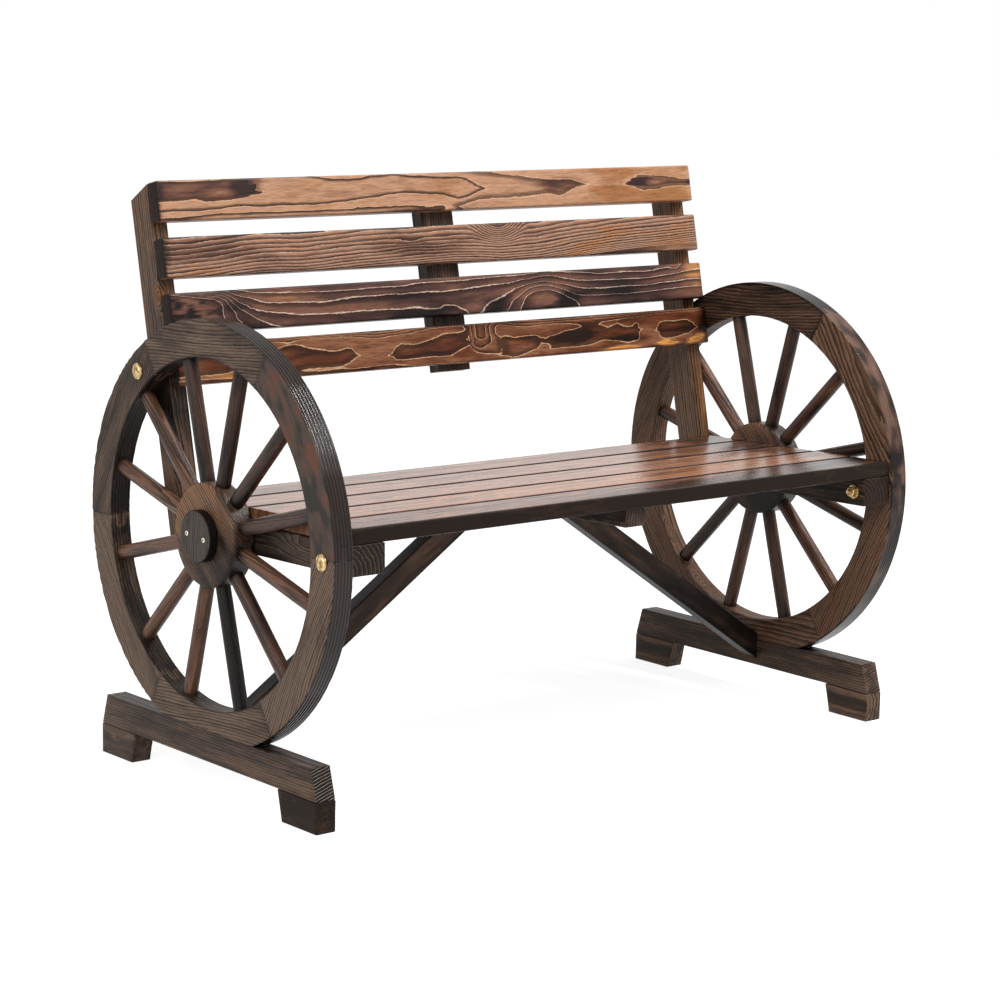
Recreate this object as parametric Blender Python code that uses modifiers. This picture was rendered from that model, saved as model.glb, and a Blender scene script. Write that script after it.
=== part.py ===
"""Garden bench hung between two wooden wagon wheels.

Units are metres, +Z is up, the sitter faces -Y, and the origin is on the ground under the middle of
the wheels. Left and right are as seen from the front. Nothing turns: each wheel is cut flat below,
stands on a base beam, and is bolted to the seat's side rail in front and to the back's end post behind.
"""

import math

import bmesh
import bpy
from mathutils import Matrix, Vector

# Clearance between two pieces that touch
FIT = 0.0003

# Wheels
WHEEL_RADIUS = 0.280
RIM_WIDTH = 0.050          # radial width of the felloes
RIM_THICKNESS = 0.030
RIM_CHAMFER = 0.004
WHEEL_FLAT = 0.0207        # how much of the rim is cut away underneath
FELLOES = 6
FELLOE_SEAM_TURN = math.radians(-3.0)
FELLOE_SEAM = 0.001        # width and depth of the line at each glued joint
SPOKES = 12
SPOKE_DIAMETER = 0.020
SPOKE_TENON = 0.012        # how far a spoke goes into the hub and into the rim
HUB_RADIUS = 0.069
HUB_PROUD = 0.004          # how far the hub stands out from the rim's outer face
HUB_CHAMFER = 0.003
CAP_RADIUS = 0.0345
CAP_THICKNESS = 0.0129
CAP_CHAMFER = 0.0015

# Base beams and their foot blocks
BEAM_WIDTH = 0.030
BEAM_LENGTH = 0.504
BEAM_HEIGHT = 0.042
BEAM_END_SLANT = 0.0124    # how much shorter each end is at the top
BEAM_SETBACK = 0.0045      # beam's middle behind the wheel's middle
FOOT_HEIGHT = 0.0414
FOOT_LENGTH = 0.0755
FOOT_TOP_LENGTH = 0.0858

# Seat
SEAT_LENGTH = 0.960
SEAT_HEIGHT = 0.390        # top of the front edge
SEAT_TILT = math.radians(1.3)
SEAT_FRONT_INSET = 0.006   # seat's front edge behind the wheel's front
SEAT_SLATS = 5
SEAT_SLAT_WIDTH = 0.070
SEAT_SLAT_GAP = 0.005
SEAT_SLAT_THICKNESS = 0.021
SIDE_RAIL_WIDTH = 0.052
SIDE_RAIL_HEIGHT = 0.039
CENTRE_RAIL_WIDTH = 0.036
CENTRE_RAIL_HEIGHT = 0.026
CENTRE_RAIL_INSET = 0.012  # from the seat's front and back edges

# Back
BACK_HEIGHT = 0.790        # top front edge of the highest slat
BACK_LEAN = math.radians(12.15)
BACK_SLAT_WIDTH = 0.0545
BACK_SLAT_GAPS = (0.021, 0.0195, 0.014)   # hand-set, closing up towards the seat
BACK_SLAT_THICKNESS = 0.023
POST_WIDTH = 0.025
POST_DEPTH = 0.044
POST_TOP_DROP = 0.016      # slope of the post's top, front to back
CENTRE_POST_WIDTH = 0.0575
CENTRE_POST_DEPTH = 0.022
CENTRE_POST_INSET = 0.004  # its top below the highest slat's top
CENTRE_POST_DROP = 0.009   # its foot below the lowest slat

# Braces
BRACE_WIDTH = 0.032
BRACE_THICKNESS = 0.024
BRACE_FOOT_HEIGHT = 0.052  # its lower edge on the base beam
BRACE_TIP = 0.003          # height of the tip that meets the middle rail
BRACE_SETBACK = -0.006     # brace's middle behind the wheel's middle

# Carriage bolts
BOLT_DIAMETER = 0.008
BOLT_HOLE = 0.009
BOLT_HEAD_DIAMETER = 0.022
BOLT_HEAD_HEIGHT = 0.0045
WASHER_DIAMETER = 0.020
WASHER_THICKNESS = 0.0016
NUT_FLATS = 0.013
NUT_HEIGHT = 0.0065
BOLT_TAIL = 0.004          # thread past the nut
POST_BOLT_SETBACK = 0.006  # bolt behind the post's middle

EASED_EDGE = 0.0015        # sanded edges of the boards
CUT_MARGIN = 0.020         # how far a cutter reaches past what it cuts
MERGE = 1e-6               # points closer than this are one point
SHARP_EDGE = math.radians(30.0)
RIM_STEPS = 96
HUB_STEPS = 64
CAP_STEPS = 48
BOLT_STEPS = 24
SPOKE_SIDES = 20

# Places that follow from the sizes above
RIM_INNER_X = SEAT_LENGTH / 2 + FIT
RIM_OUTER_X = RIM_INNER_X + RIM_THICKNESS
RIM_MIDDLE_X = RIM_INNER_X + RIM_THICKNESS / 2
RIM_INNER_RADIUS = WHEEL_RADIUS - RIM_WIDTH
RIM_MIDDLE_RADIUS = WHEEL_RADIUS - RIM_WIDTH / 2
BEAM_BOTTOM = FOOT_HEIGHT + FIT
BEAM_TOP = BEAM_BOTTOM + BEAM_HEIGHT
BEAM_INNER_X = RIM_OUTER_X - BEAM_WIDTH
RIM_FLAT_Z = BEAM_TOP + FIT
WHEEL_Z = RIM_FLAT_Z + WHEEL_RADIUS - WHEEL_FLAT
SEAT_DEPTH = SEAT_SLATS * SEAT_SLAT_WIDTH + (SEAT_SLATS - 1) * SEAT_SLAT_GAP
SEAT_FRONT_Y = SEAT_FRONT_INSET - WHEEL_RADIUS
RAIL_TOP = -SEAT_SLAT_THICKNESS - FIT     # below the seat's top face
POST_FRONT = BACK_SLAT_THICKNESS + FIT    # behind the slats' front face
SPOKE_LENGTH = RIM_INNER_RADIUS - HUB_RADIUS + 2 * SPOKE_TENON
SPOKE_MIDDLE = (RIM_INNER_RADIUS + HUB_RADIUS) / 2


def seat_point(depth, rise):
    """World (y, z) of a point so far behind the seat's front edge and above its top face."""
    c, s = math.cos(SEAT_TILT), math.sin(SEAT_TILT)
    return Vector((SEAT_FRONT_Y + depth * c + rise * s, SEAT_HEIGHT - depth * s + rise * c))


def back_top_y():
    """The back stands with its end posts against the rear edge of the last seat slat."""
    edge = seat_point(SEAT_DEPTH, -SEAT_SLAT_THICKNESS)
    lean = (BACK_HEIGHT - edge.y) * math.sin(BACK_LEAN)
    return edge.x + (lean - POST_FRONT + FIT) / math.cos(BACK_LEAN)


BACK_TOP_Y = back_top_y()


def back_point(behind, rise):
    """World (y, z) of a point so far behind the back's front face and above its top edge."""
    c, s = math.cos(BACK_LEAN), math.sin(BACK_LEAN)
    return Vector((BACK_TOP_Y + behind * c + rise * s, BACK_HEIGHT - behind * s + rise * c))


def post_foot():
    """How far below the back's top the end posts reach: level with the side rails' underside."""
    down = back_point(POST_FRONT, -1.0) - back_point(POST_FRONT, 0.0)
    seat_up = Vector((math.sin(SEAT_TILT), math.cos(SEAT_TILT)))
    underside = seat_point(0.0, RAIL_TOP - SIDE_RAIL_HEIGHT)
    start = back_point(POST_FRONT, 0.0)
    return (underside - start).dot(seat_up) / down.dot(seat_up)


def on_rim(start, heading):
    """Where a line from start first comes to the middle of the rim, as world (y, z)."""
    heading = heading.normalized()
    offset = start - Vector((0.0, WHEEL_Z))
    half = offset.dot(heading)
    reach = -half - math.sqrt(half * half - offset.length_squared + RIM_MIDDLE_RADIUS**2)
    return start + heading * reach


def front_bolt_place():
    height = RAIL_TOP - SIDE_RAIL_HEIGHT / 2
    return on_rim(seat_point(0.0, height), seat_point(1.0, height) - seat_point(0.0, height))


def rear_bolt_place():
    behind = POST_FRONT + POST_DEPTH / 2 + POST_BOLT_SETBACK
    return on_rim(back_point(behind, 0.0), back_point(behind, -1.0) - back_point(behind, 0.0))


for leftover in list(bpy.data.objects):
    bpy.data.objects.remove(leftover, do_unlink=True)

PARTS = bpy.data.collections.new("wagon_wheel_bench")
CUTTERS = bpy.data.collections.new("cutters")
for collection in (PARTS, CUTTERS):
    bpy.context.scene.collection.children.link(collection)


def finish(name, colour, roughness, metallic=0.0):
    """A plain Principled finish; colour is linear RGB."""
    material = bpy.data.materials.new(name)
    material.use_nodes = True
    shader = material.node_tree.nodes["Principled BSDF"]
    shader.inputs["Base Color"].default_value = (*colour, 1.0)
    shader.inputs["Roughness"].default_value = roughness
    shader.inputs["Metallic"].default_value = metallic
    material.diffuse_color = (*colour, 1.0)
    return material


SEAT_WOOD = finish("seat_wood", (0.150, 0.078, 0.048), 0.40)
BACK_WOOD = finish("back_wood", (0.130, 0.056, 0.028), 0.42)
RIM_WOOD = finish("rim_wood", (0.050, 0.036, 0.030), 0.50)
SPOKE_WOOD = finish("spoke_wood", (0.048, 0.030, 0.022), 0.45)
HUB_WOOD = finish("hub_wood", (0.068, 0.040, 0.028), 0.50)
CAP_WOOD = finish("cap_wood", (0.016, 0.015, 0.015), 0.55)
FRAME_WOOD = finish("frame_wood", (0.036, 0.024, 0.018), 0.50)
ZINC = finish("yellow_zinc", (0.560, 0.340, 0.120), 0.30, 1.0)


def add_empty(name, location, turn=(0.0, 0.0, 0.0)):
    empty = bpy.data.objects.new(name, None)
    empty.location = location
    empty.rotation_euler = turn
    PARTS.objects.link(empty)
    return empty


def add_object(name, mesh, material, location=(0.0, 0.0, 0.0), turn=(0.0, 0.0, 0.0), parent=None):
    """Links a mesh as a part, or as a cutter where it has no material."""
    obj = bpy.data.objects.new(name, mesh)
    obj.location = location
    obj.rotation_euler = turn
    obj.parent = parent
    if material:
        mesh.materials.append(material)
        PARTS.objects.link(obj)
    else:
        CUTTERS.objects.link(obj)
        obj.hide_render = True
        obj.display_type = "WIRE"
    return obj


def box_mesh(name, size):
    mesh = bpy.data.meshes.new(name)
    bm = bmesh.new()
    bmesh.ops.create_cube(bm, size=1.0)
    bmesh.ops.scale(bm, vec=size, verts=bm.verts)
    bm.to_mesh(mesh)
    bm.free()
    return mesh


def rod_mesh(name, diameter, length, sides):
    mesh = bpy.data.meshes.new(name)
    bm = bmesh.new()
    bmesh.ops.create_cone(bm, cap_ends=True, segments=sides, radius1=diameter / 2, radius2=diameter / 2,
                          depth=length)
    bm.to_mesh(mesh)
    bm.free()
    smooth(mesh)
    return mesh


def outline_mesh(name, points, thickness):
    """A flat outline given thickness on both sides of its plane."""
    curve = bpy.data.curves.new(name, "CURVE")
    curve.dimensions = "2D"
    curve.fill_mode = "BOTH"
    curve.extrude = thickness / 2
    spline = curve.splines.new("POLY")
    spline.points.add(len(points) - 1)
    for point, (x, y) in zip(spline.points, points):
        point.co = (x, y, 0.0, 1.0)
    spline.use_cyclic_u = True
    flat = bpy.data.objects.new(name, curve)
    CUTTERS.objects.link(flat)
    evaluated = flat.evaluated_get(bpy.context.evaluated_depsgraph_get())
    mesh = bpy.data.meshes.new_from_object(evaluated)
    bpy.data.objects.remove(flat, do_unlink=True)
    bm = bmesh.new()
    bm.from_mesh(mesh)
    bmesh.ops.remove_doubles(bm, verts=bm.verts, dist=MERGE)
    bmesh.ops.dissolve_limit(bm, angle_limit=0.01, verts=bm.verts, edges=bm.edges)
    bmesh.ops.recalc_face_normals(bm, faces=bm.faces)
    bm.to_mesh(mesh)
    bm.free()
    mesh.materials.clear()
    return mesh


def smooth(mesh):
    mesh.shade_smooth()
    mesh.set_sharp_from_angle(angle=SHARP_EDGE)


def profile_mesh(name, points, closed=False):
    """A profile in the XZ plane, listed down its outer side, for a turned piece."""
    mesh = bpy.data.meshes.new(name)
    edges = [(i, i + 1) for i in range(len(points) - 1)]
    if closed:
        edges.append((len(points) - 1, 0))
    mesh.from_pydata([(x, 0.0, z) for x, z in points], edges, [])
    return mesh


def turn_profile(obj, steps):
    screw = obj.modifiers.new("turned", "SCREW")
    screw.steps = screw.render_steps = steps
    screw.use_merge_vertices = True
    screw.merge_threshold = MERGE
    screw.use_smooth_shade = True


def ease(obj):
    bevel = obj.modifiers.new("eased edges", "BEVEL")
    bevel.width = EASED_EDGE
    bevel.segments = 1
    bevel.limit_method = "ANGLE"
    bevel.angle_limit = SHARP_EDGE


def combine(obj, other, operation="DIFFERENCE"):
    boolean = obj.modifiers.new(other.name, "BOOLEAN")
    boolean.operation = operation
    boolean.object = other


def add_board(name, size, material, location, parent=None):
    board = add_object(name, box_mesh(name, size), material, location, parent=parent)
    ease(board)
    return board


ACROSS = (math.radians(90.0), 0.0, math.radians(90.0))   # outline drawn in (y, z), thickness along X
FRONTAL = (math.radians(90.0), 0.0, 0.0)                 # outline drawn in (x, z), thickness along Y
AXLE = (0.0, math.radians(90.0), 0.0)                    # turned about the wheel's axle


def add_rim(side, wheel):
    """Six felloes glued into one ring, with a flat to stand on and a line at each glued joint."""
    half, c = RIM_THICKNESS / 2, RIM_CHAMFER
    profile = [(WHEEL_RADIUS - c, half), (WHEEL_RADIUS, half - c), (WHEEL_RADIUS, c - half),
               (WHEEL_RADIUS - c, -half), (RIM_INNER_RADIUS + c, -half), (RIM_INNER_RADIUS, c - half),
               (RIM_INNER_RADIUS, half - c), (RIM_INNER_RADIUS + c, half)]
    name = f"{side}_rim"
    rim = add_object(name, profile_mesh(name, profile, closed=True), RIM_WOOD, turn=AXLE, parent=wheel)
    turn_profile(rim, RIM_STEPS)
    size = (RIM_THICKNESS + 2 * CUT_MARGIN, 2 * WHEEL_RADIUS, WHEEL_FLAT + CUT_MARGIN)
    place = (0.0, 0.0, WHEEL_FLAT - WHEEL_RADIUS - size[2] / 2)
    combine(rim, add_object(f"{side}_flat_cut", box_mesh("flat_cut", size), None, place, parent=wheel))
    combine(rim, add_object(f"{side}_seam_cut", seam_mesh(), None, parent=wheel))
    return rim


def seam_mesh():
    """Shallow lines across both faces of the rim, one at each joint between two felloes."""
    mesh = bpy.data.meshes.new("seam_cut")
    bm = bmesh.new()
    for felloe in range(FELLOES):
        turn = Matrix.Rotation(FELLOE_SEAM_TURN + math.tau * felloe / FELLOES, 4, "X")
        for face in (-1.0, 1.0):
            place = Matrix.Translation((face * RIM_THICKNESS / 2, RIM_MIDDLE_RADIUS, 0.0))
            size = Matrix.Diagonal((2 * FELLOE_SEAM, RIM_WIDTH + CUT_MARGIN, FELLOE_SEAM, 1.0))
            bmesh.ops.create_cube(bm, size=1.0, matrix=turn @ place @ size)
    bm.to_mesh(mesh)
    bm.free()
    return mesh


def spoke_turn(spoke):
    """Turn about X that stands a spoke along its radius; the first one is half a step up from +Y."""
    return math.tau * (spoke + 0.5) / SPOKES - math.pi / 2


def socket_mesh():
    """All the spokes of a wheel, larger by the clearance, to cut their sockets."""
    mesh = bpy.data.meshes.new("socket_cut")
    bm = bmesh.new()
    radius = SPOKE_DIAMETER / 2 + FIT
    for spoke in range(SPOKES):
        place = Matrix.Rotation(spoke_turn(spoke), 4, "X") @ Matrix.Translation((0.0, 0.0, SPOKE_MIDDLE))
        bmesh.ops.create_cone(bm, cap_ends=True, segments=SPOKE_SIDES, radius1=radius, radius2=radius,
                              depth=SPOKE_LENGTH + 2 * FIT, matrix=place)
    bm.to_mesh(mesh)
    bm.free()
    return mesh


def add_spokes(side, wheel):
    for spoke in range(SPOKES):
        name = f"{side}_spoke_{spoke + 1:02d}"
        turn = spoke_turn(spoke)
        place = Matrix.Rotation(turn, 3, "X") @ Vector((0.0, 0.0, SPOKE_MIDDLE))
        mesh = rod_mesh(name, SPOKE_DIAMETER, SPOKE_LENGTH, SPOKE_SIDES)
        add_object(name, mesh, SPOKE_WOOD, place, (turn, 0.0, 0.0), wheel)


def add_hub(side, wheel, outward):
    """Turned hub, flush with the rim inside and a little proud of it outside, and its dark cap."""
    inner, outer, c = -RIM_THICKNESS / 2, RIM_THICKNESS / 2 + HUB_PROUD, HUB_CHAMFER
    name = f"{side}_hub"
    profile = [(0.0, outer), (HUB_RADIUS - c, outer), (HUB_RADIUS, outer - c), (HUB_RADIUS, inner + c),
               (HUB_RADIUS - c, inner), (0.0, inner)]
    turn = (0.0, outward * math.pi / 2, 0.0)
    hub = add_object(name, profile_mesh(name, profile), HUB_WOOD, turn=turn, parent=wheel)
    turn_profile(hub, HUB_STEPS)

    base, top, c = outer + FIT, outer + FIT + CAP_THICKNESS, CAP_CHAMFER
    name = f"{side}_hub_cap"
    profile = [(0.0, top), (CAP_RADIUS - c, top), (CAP_RADIUS, top - c), (CAP_RADIUS, base), (0.0, base)]
    cap = add_object(name, profile_mesh(name, profile), CAP_WOOD, turn=turn, parent=wheel)
    turn_profile(cap, CAP_STEPS)
    return hub


def add_wheel(side, outward):
    wheel = add_empty(f"{side}_wheel", (outward * RIM_MIDDLE_X, 0.0, WHEEL_Z))
    rim = add_rim(side, wheel)
    hub = add_hub(side, wheel, outward)
    add_spokes(side, wheel)
    sockets = add_object(f"{side}_socket_cut", socket_mesh(), None, parent=wheel)
    combine(rim, sockets)
    combine(hub, sockets)
    return rim


def add_base(side, outward):
    """Beam with slanted ends under the wheel, and a foot block under each of its ends."""
    middle = (outward * (RIM_OUTER_X - BEAM_WIDTH / 2), BEAM_SETBACK, 0.0)
    half, top = BEAM_LENGTH / 2, BEAM_LENGTH / 2 - BEAM_END_SLANT
    outline = [(-half, BEAM_BOTTOM), (half, BEAM_BOTTOM), (top, BEAM_TOP), (-top, BEAM_TOP)]
    name = f"{side}_base_beam"
    ease(add_object(name, outline_mesh(name, outline, BEAM_WIDTH), FRAME_WOOD, middle, ACROSS))
    for end, way in (("front", -1.0), ("back", 1.0)):
        outline = [(way * half, 0.0), (way * (half - FOOT_LENGTH), 0.0),
                   (way * (half - FOOT_TOP_LENGTH), FOOT_HEIGHT), (way * half, FOOT_HEIGHT)]
        name = f"{side}_{end}_foot"
        ease(add_object(name, outline_mesh(name, outline, BEAM_WIDTH), FRAME_WOOD, middle, ACROSS))


def add_brace(side, outward):
    """Diagonal batten from the beam's inner face up into the corner of middle rail and seat slats."""
    foot_x = BEAM_INNER_X - FIT
    tip_x = CENTRE_RAIL_WIDTH / 2 + FIT
    rear_edge = BRACE_SETBACK + BRACE_THICKNESS / 2 - SEAT_FRONT_Y
    under_seat = seat_point(rear_edge, RAIL_TOP).y
    tip_z = under_seat - BRACE_TIP
    slope = math.atan2(tip_z - BRACE_FOOT_HEIGHT, foot_x - tip_x)
    upper_z = BRACE_FOOT_HEIGHT + BRACE_WIDTH / math.cos(slope)
    upper_x = foot_x - (under_seat - upper_z) / math.tan(slope)
    outline = [(outward * x, z) for x, z in ((foot_x, BRACE_FOOT_HEIGHT), (foot_x, upper_z),
                                             (upper_x, under_seat), (tip_x, under_seat), (tip_x, tip_z))]
    name = f"{side}_brace"
    mesh = outline_mesh(name, outline, BRACE_THICKNESS)
    ease(add_object(name, mesh, FRAME_WOOD, (0.0, BRACE_SETBACK, 0.0), FRONTAL))


def add_seat(seat):
    for slat in range(SEAT_SLATS):
        depth = slat * (SEAT_SLAT_WIDTH + SEAT_SLAT_GAP) + SEAT_SLAT_WIDTH / 2
        add_board(f"seat_slat_{slat + 1}", (SEAT_LENGTH, SEAT_SLAT_WIDTH, SEAT_SLAT_THICKNESS), SEAT_WOOD,
                  (0.0, depth, -SEAT_SLAT_THICKNESS / 2), seat)
    size = (CENTRE_RAIL_WIDTH, SEAT_DEPTH - 2 * CENTRE_RAIL_INSET, CENTRE_RAIL_HEIGHT)
    add_board("centre_seat_rail", size, FRAME_WOOD,
              (0.0, SEAT_DEPTH / 2, RAIL_TOP - CENTRE_RAIL_HEIGHT / 2), seat)


def add_side_rail(side, outward, seat, back_cut):
    """Heavy rail beside the wheel; its rear end is cut to the lean of the back post it meets."""
    size = (SIDE_RAIL_WIDTH, SEAT_DEPTH + CUT_MARGIN, SIDE_RAIL_HEIGHT)
    place = (outward * (SEAT_LENGTH / 2 - SIDE_RAIL_WIDTH / 2), size[1] / 2, RAIL_TOP - SIDE_RAIL_HEIGHT / 2)
    name = f"{side}_seat_rail"
    rail = add_object(name, box_mesh(name, size), FRAME_WOOD, place, parent=seat)
    combine(rail, back_cut)
    ease(rail)
    return rail


def add_back_cut(back):
    """All the room behind the front faces of the end posts."""
    size = (2 * SEAT_LENGTH, SEAT_DEPTH, 3 * BACK_HEIGHT)
    place = (0.0, POST_FRONT - FIT + size[1] / 2, 0.0)
    return add_object("back_cut", box_mesh("back_cut", size), None, place, parent=back)


def add_back(back):
    drop = 0.0
    for slat, gap in enumerate((*BACK_SLAT_GAPS, 0.0)):
        add_board(f"back_slat_{slat + 1}", (SEAT_LENGTH, BACK_SLAT_THICKNESS, BACK_SLAT_WIDTH), BACK_WOOD,
                  (0.0, BACK_SLAT_THICKNESS / 2, -drop - BACK_SLAT_WIDTH / 2), back)
        drop += BACK_SLAT_WIDTH + gap
    height = drop + CENTRE_POST_DROP - CENTRE_POST_INSET
    add_board("centre_back_post", (CENTRE_POST_WIDTH, CENTRE_POST_DEPTH, height), FRAME_WOOD,
              (0.0, POST_FRONT + CENTRE_POST_DEPTH / 2, -CENTRE_POST_INSET - height / 2), back)


def add_end_post(side, outward, back):
    """Post behind the slats' ends, sloped on top, down to the underside of the side rail."""
    rear, foot = POST_FRONT + POST_DEPTH, -post_foot()
    outline = [(POST_FRONT, 0.0), (POST_FRONT, foot), (rear, foot), (rear, -POST_TOP_DROP)]
    name = f"{side}_back_post"
    place = (outward * (SEAT_LENGTH / 2 - POST_WIDTH / 2), 0.0, 0.0)
    post = add_object(name, outline_mesh(name, outline, POST_WIDTH), FRAME_WOOD, place, ACROSS, back)
    ease(post)
    return post


def dome(radius, height, steps=5):
    """Points down a domed bolt head from its crown to its rim, above z = 0."""
    return [(radius * math.sin(a), height * math.cos(a))
            for a in (math.pi / 2 * i / steps for i in range(steps))]


def add_bolt(name, outward, place, rim, holder, holder_width):
    """Carriage bolt through the rim and the piece inside it, with washer and nut on the inside."""
    head, shank, washer = BOLT_HEAD_DIAMETER / 2, BOLT_DIAMETER / 2, WASHER_DIAMETER / 2
    grip = -(RIM_THICKNESS + FIT + holder_width + FIT)
    seat = grip - WASHER_THICKNESS
    end = seat - NUT_HEIGHT - BOLT_TAIL
    lift = [(x, z + FIT) for x, z in dome(head, BOLT_HEAD_HEIGHT)]
    profile = lift + [(head, FIT), (shank, FIT), (shank, grip), (washer, grip), (washer, seat),
                      (shank, seat), (shank, end), (0.0, end)]
    where = (outward * RIM_OUTER_X, place.x, place.y)
    turn = (0.0, outward * math.pi / 2, 0.0)
    bolt = add_object(name, profile_mesh(name, profile), ZINC, where, turn)
    turn_profile(bolt, BOLT_STEPS)
    nut = add_object(f"{name}_nut", rod_mesh("nut", NUT_FLATS / math.cos(math.pi / 6), NUT_HEIGHT + FIT, 6),
                     None, (0.0, 0.0, seat - NUT_HEIGHT / 2 + FIT / 2), parent=bolt)
    combine(bolt, nut, "UNION")

    length = 2 * CUT_MARGIN - grip
    hole = add_object(f"{name}_hole", rod_mesh("hole", BOLT_HOLE, length, BOLT_STEPS), None,
                      (0.0, 0.0, grip / 2), parent=bolt)
    combine(rim, hole)
    combine(holder, hole)


seat_frame = add_empty("seat", (0.0, SEAT_FRONT_Y, SEAT_HEIGHT), (-SEAT_TILT, 0.0, 0.0))
back_frame = add_empty("back", (0.0, BACK_TOP_Y, BACK_HEIGHT), (-BACK_LEAN, 0.0, 0.0))
add_seat(seat_frame)
add_back(back_frame)
behind_posts = add_back_cut(back_frame)
for side, outward in (("left", -1.0), ("right", 1.0)):
    wheel_rim = add_wheel(side, outward)
    add_base(side, outward)
    add_brace(side, outward)
    side_rail = add_side_rail(side, outward, seat_frame, behind_posts)
    end_post = add_end_post(side, outward, back_frame)
    add_bolt(f"{side}_front_bolt", outward, front_bolt_place(), wheel_rim, side_rail, SIDE_RAIL_WIDTH)
    add_bolt(f"{side}_rear_bolt", outward, rear_bolt_place(), wheel_rim, end_post, POST_WIDTH)
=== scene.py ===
"""Looks of the wagon wheel bench: torched, brushed and varnished fir, with gold zinc bolts.

Every wooden piece is modelled lying along its fibres, given its year rings and scorching there, and then
set where its solid stands. Board places inside the functions are in millimetres, the meshes in metres.
"""
import math

import bmesh
import bpy
import numpy as np
from mathutils import Matrix, Vector, noise


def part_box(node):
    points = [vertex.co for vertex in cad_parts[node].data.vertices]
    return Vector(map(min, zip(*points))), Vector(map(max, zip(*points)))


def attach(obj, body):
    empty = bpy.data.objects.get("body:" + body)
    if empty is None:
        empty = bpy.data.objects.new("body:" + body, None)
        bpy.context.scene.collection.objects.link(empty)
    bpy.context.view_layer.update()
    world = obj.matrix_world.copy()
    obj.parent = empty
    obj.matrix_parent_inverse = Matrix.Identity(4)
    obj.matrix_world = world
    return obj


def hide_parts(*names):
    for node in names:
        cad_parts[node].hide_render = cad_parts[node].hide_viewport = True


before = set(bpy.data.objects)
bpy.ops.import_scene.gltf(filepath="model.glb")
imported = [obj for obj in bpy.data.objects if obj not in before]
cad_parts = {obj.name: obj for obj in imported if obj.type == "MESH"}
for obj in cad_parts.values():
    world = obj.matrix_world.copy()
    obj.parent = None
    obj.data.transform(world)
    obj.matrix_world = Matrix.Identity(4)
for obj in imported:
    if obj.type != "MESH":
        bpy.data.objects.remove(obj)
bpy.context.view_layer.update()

bpy.ops.object.select_all(action="DESELECT")

SEAT_TILT = math.radians(1.3)
BACK_LEAN = math.radians(12.15)
SIDES = (("left", -1.0), ("right", 1.0))

# Wheels, as in the solids
WHEEL_RADIUS = 0.280
RIM_WIDTH = 0.050
RIM_THICKNESS = 0.030
WHEEL_FLAT = 0.0207        # height of what is cut off underneath
FELLOES = 6
FIRST_SEAM = math.radians(-3.8)
SPOKES = 12
SPOKE_RADIUS = 0.010
SPOKE_LENGTH = 0.185
SPOKE_MIDDLE = 0.1495      # from the axle
HUB_RADIUS = 0.069
CAP_RADIUS = 0.0345
CAP_SCREWS = ((0.0193, 0.0017), (-0.0193, -0.0017))

# Frame and bolts, as in the solids
BEAM_END_SLANT = 0.0124
FOOT_LENGTH = 0.0755       # on the floor
BRACE_TIP = 0.003          # height of the blunt upper end
POST_TOP_DROP = 0.016      # from the front to the back of a post's top
POST_GAP = 0.0003          # between a post and the end of the rail
HEAD_HEIGHT = 0.0048       # of a bolt's head and washer

# What the maker's hand leaves on the wood
SLAT_EDGE = 0.0028         # radius of the sanded edges
SEAT_EDGE = 0.0026
FRAME_EDGE = 0.0012
RIM_EDGE = 0.0015
GLUE_GAP = 0.0002
FINGER = 0.018             # length of the fingers at the joints of the rim
FINGER_SIDE = 0.005        # half the width of the middle finger
SEAM_LINE = 0.0014         # width of the pale line along a joint

# Small screws of the hub caps
SCREW_RADIUS = 0.0033
SCREW_HEIGHT = 0.0016
SCREW_EDGE = 0.0006
SCREW_SUNK = 0.0004        # how far the head is sunk below half its height
RECESS = (0.0034, 0.0015, 0.0024)

# Meshes: sizes of the cells along the fibres, across and in depth, and how points merge and shade
SLAT_CELLS = (0.0035, 0.0012, 0.004)
SEAT_CELLS = (0.006, 0.0015, 0.003)
FRAME_CELLS = (0.008, 0.0015, 0.0015)
RIM_CELLS = (56, 24, 48)   # how many across the tread, across the face and along a felloe
MERGE = 1e-6
SMOOTH_UNDER = math.radians(50.0)


def colour(hex_code):
    """Linear RGBA from an sRGB hex code."""
    parts = [int(hex_code[i:i + 2], 16) / 255 for i in (1, 3, 5)]
    return (*[p / 12.92 if p <= 0.04045 else ((p + 0.055) / 1.055) ** 2.4 for p in parts], 1.0)


def add(tree, kind, inputs=None, out=0, **settings):
    """Adds a shader node with its settings and gives one of its outputs; an input is a value or an output."""
    node = tree.nodes.new("ShaderNode" + kind)
    for key, value in settings.items():
        setattr(node, key, value)
    for key, value in (inputs or {}).items():
        if isinstance(value, bpy.types.NodeSocket):
            tree.links.new(value, node.inputs[key])
        else:
            node.inputs[key].default_value = value
    return node.outputs[out] if node.outputs else None


def new_material(name):
    material = bpy.data.materials.new(name)
    material.use_nodes = True
    material.node_tree.nodes.clear()
    return material, material.node_tree


# Sockets of the colour Mix node
MIX_A, MIX_B, MIX_OUT = 6, 7, 2
# Strength of the late wood through its share of a year ring
LATE_WOOD = ((0.0, 1.0), (0.32, 0.97), (0.60, 0.80), (0.80, 0.45), (1.0, 0.08))


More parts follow.
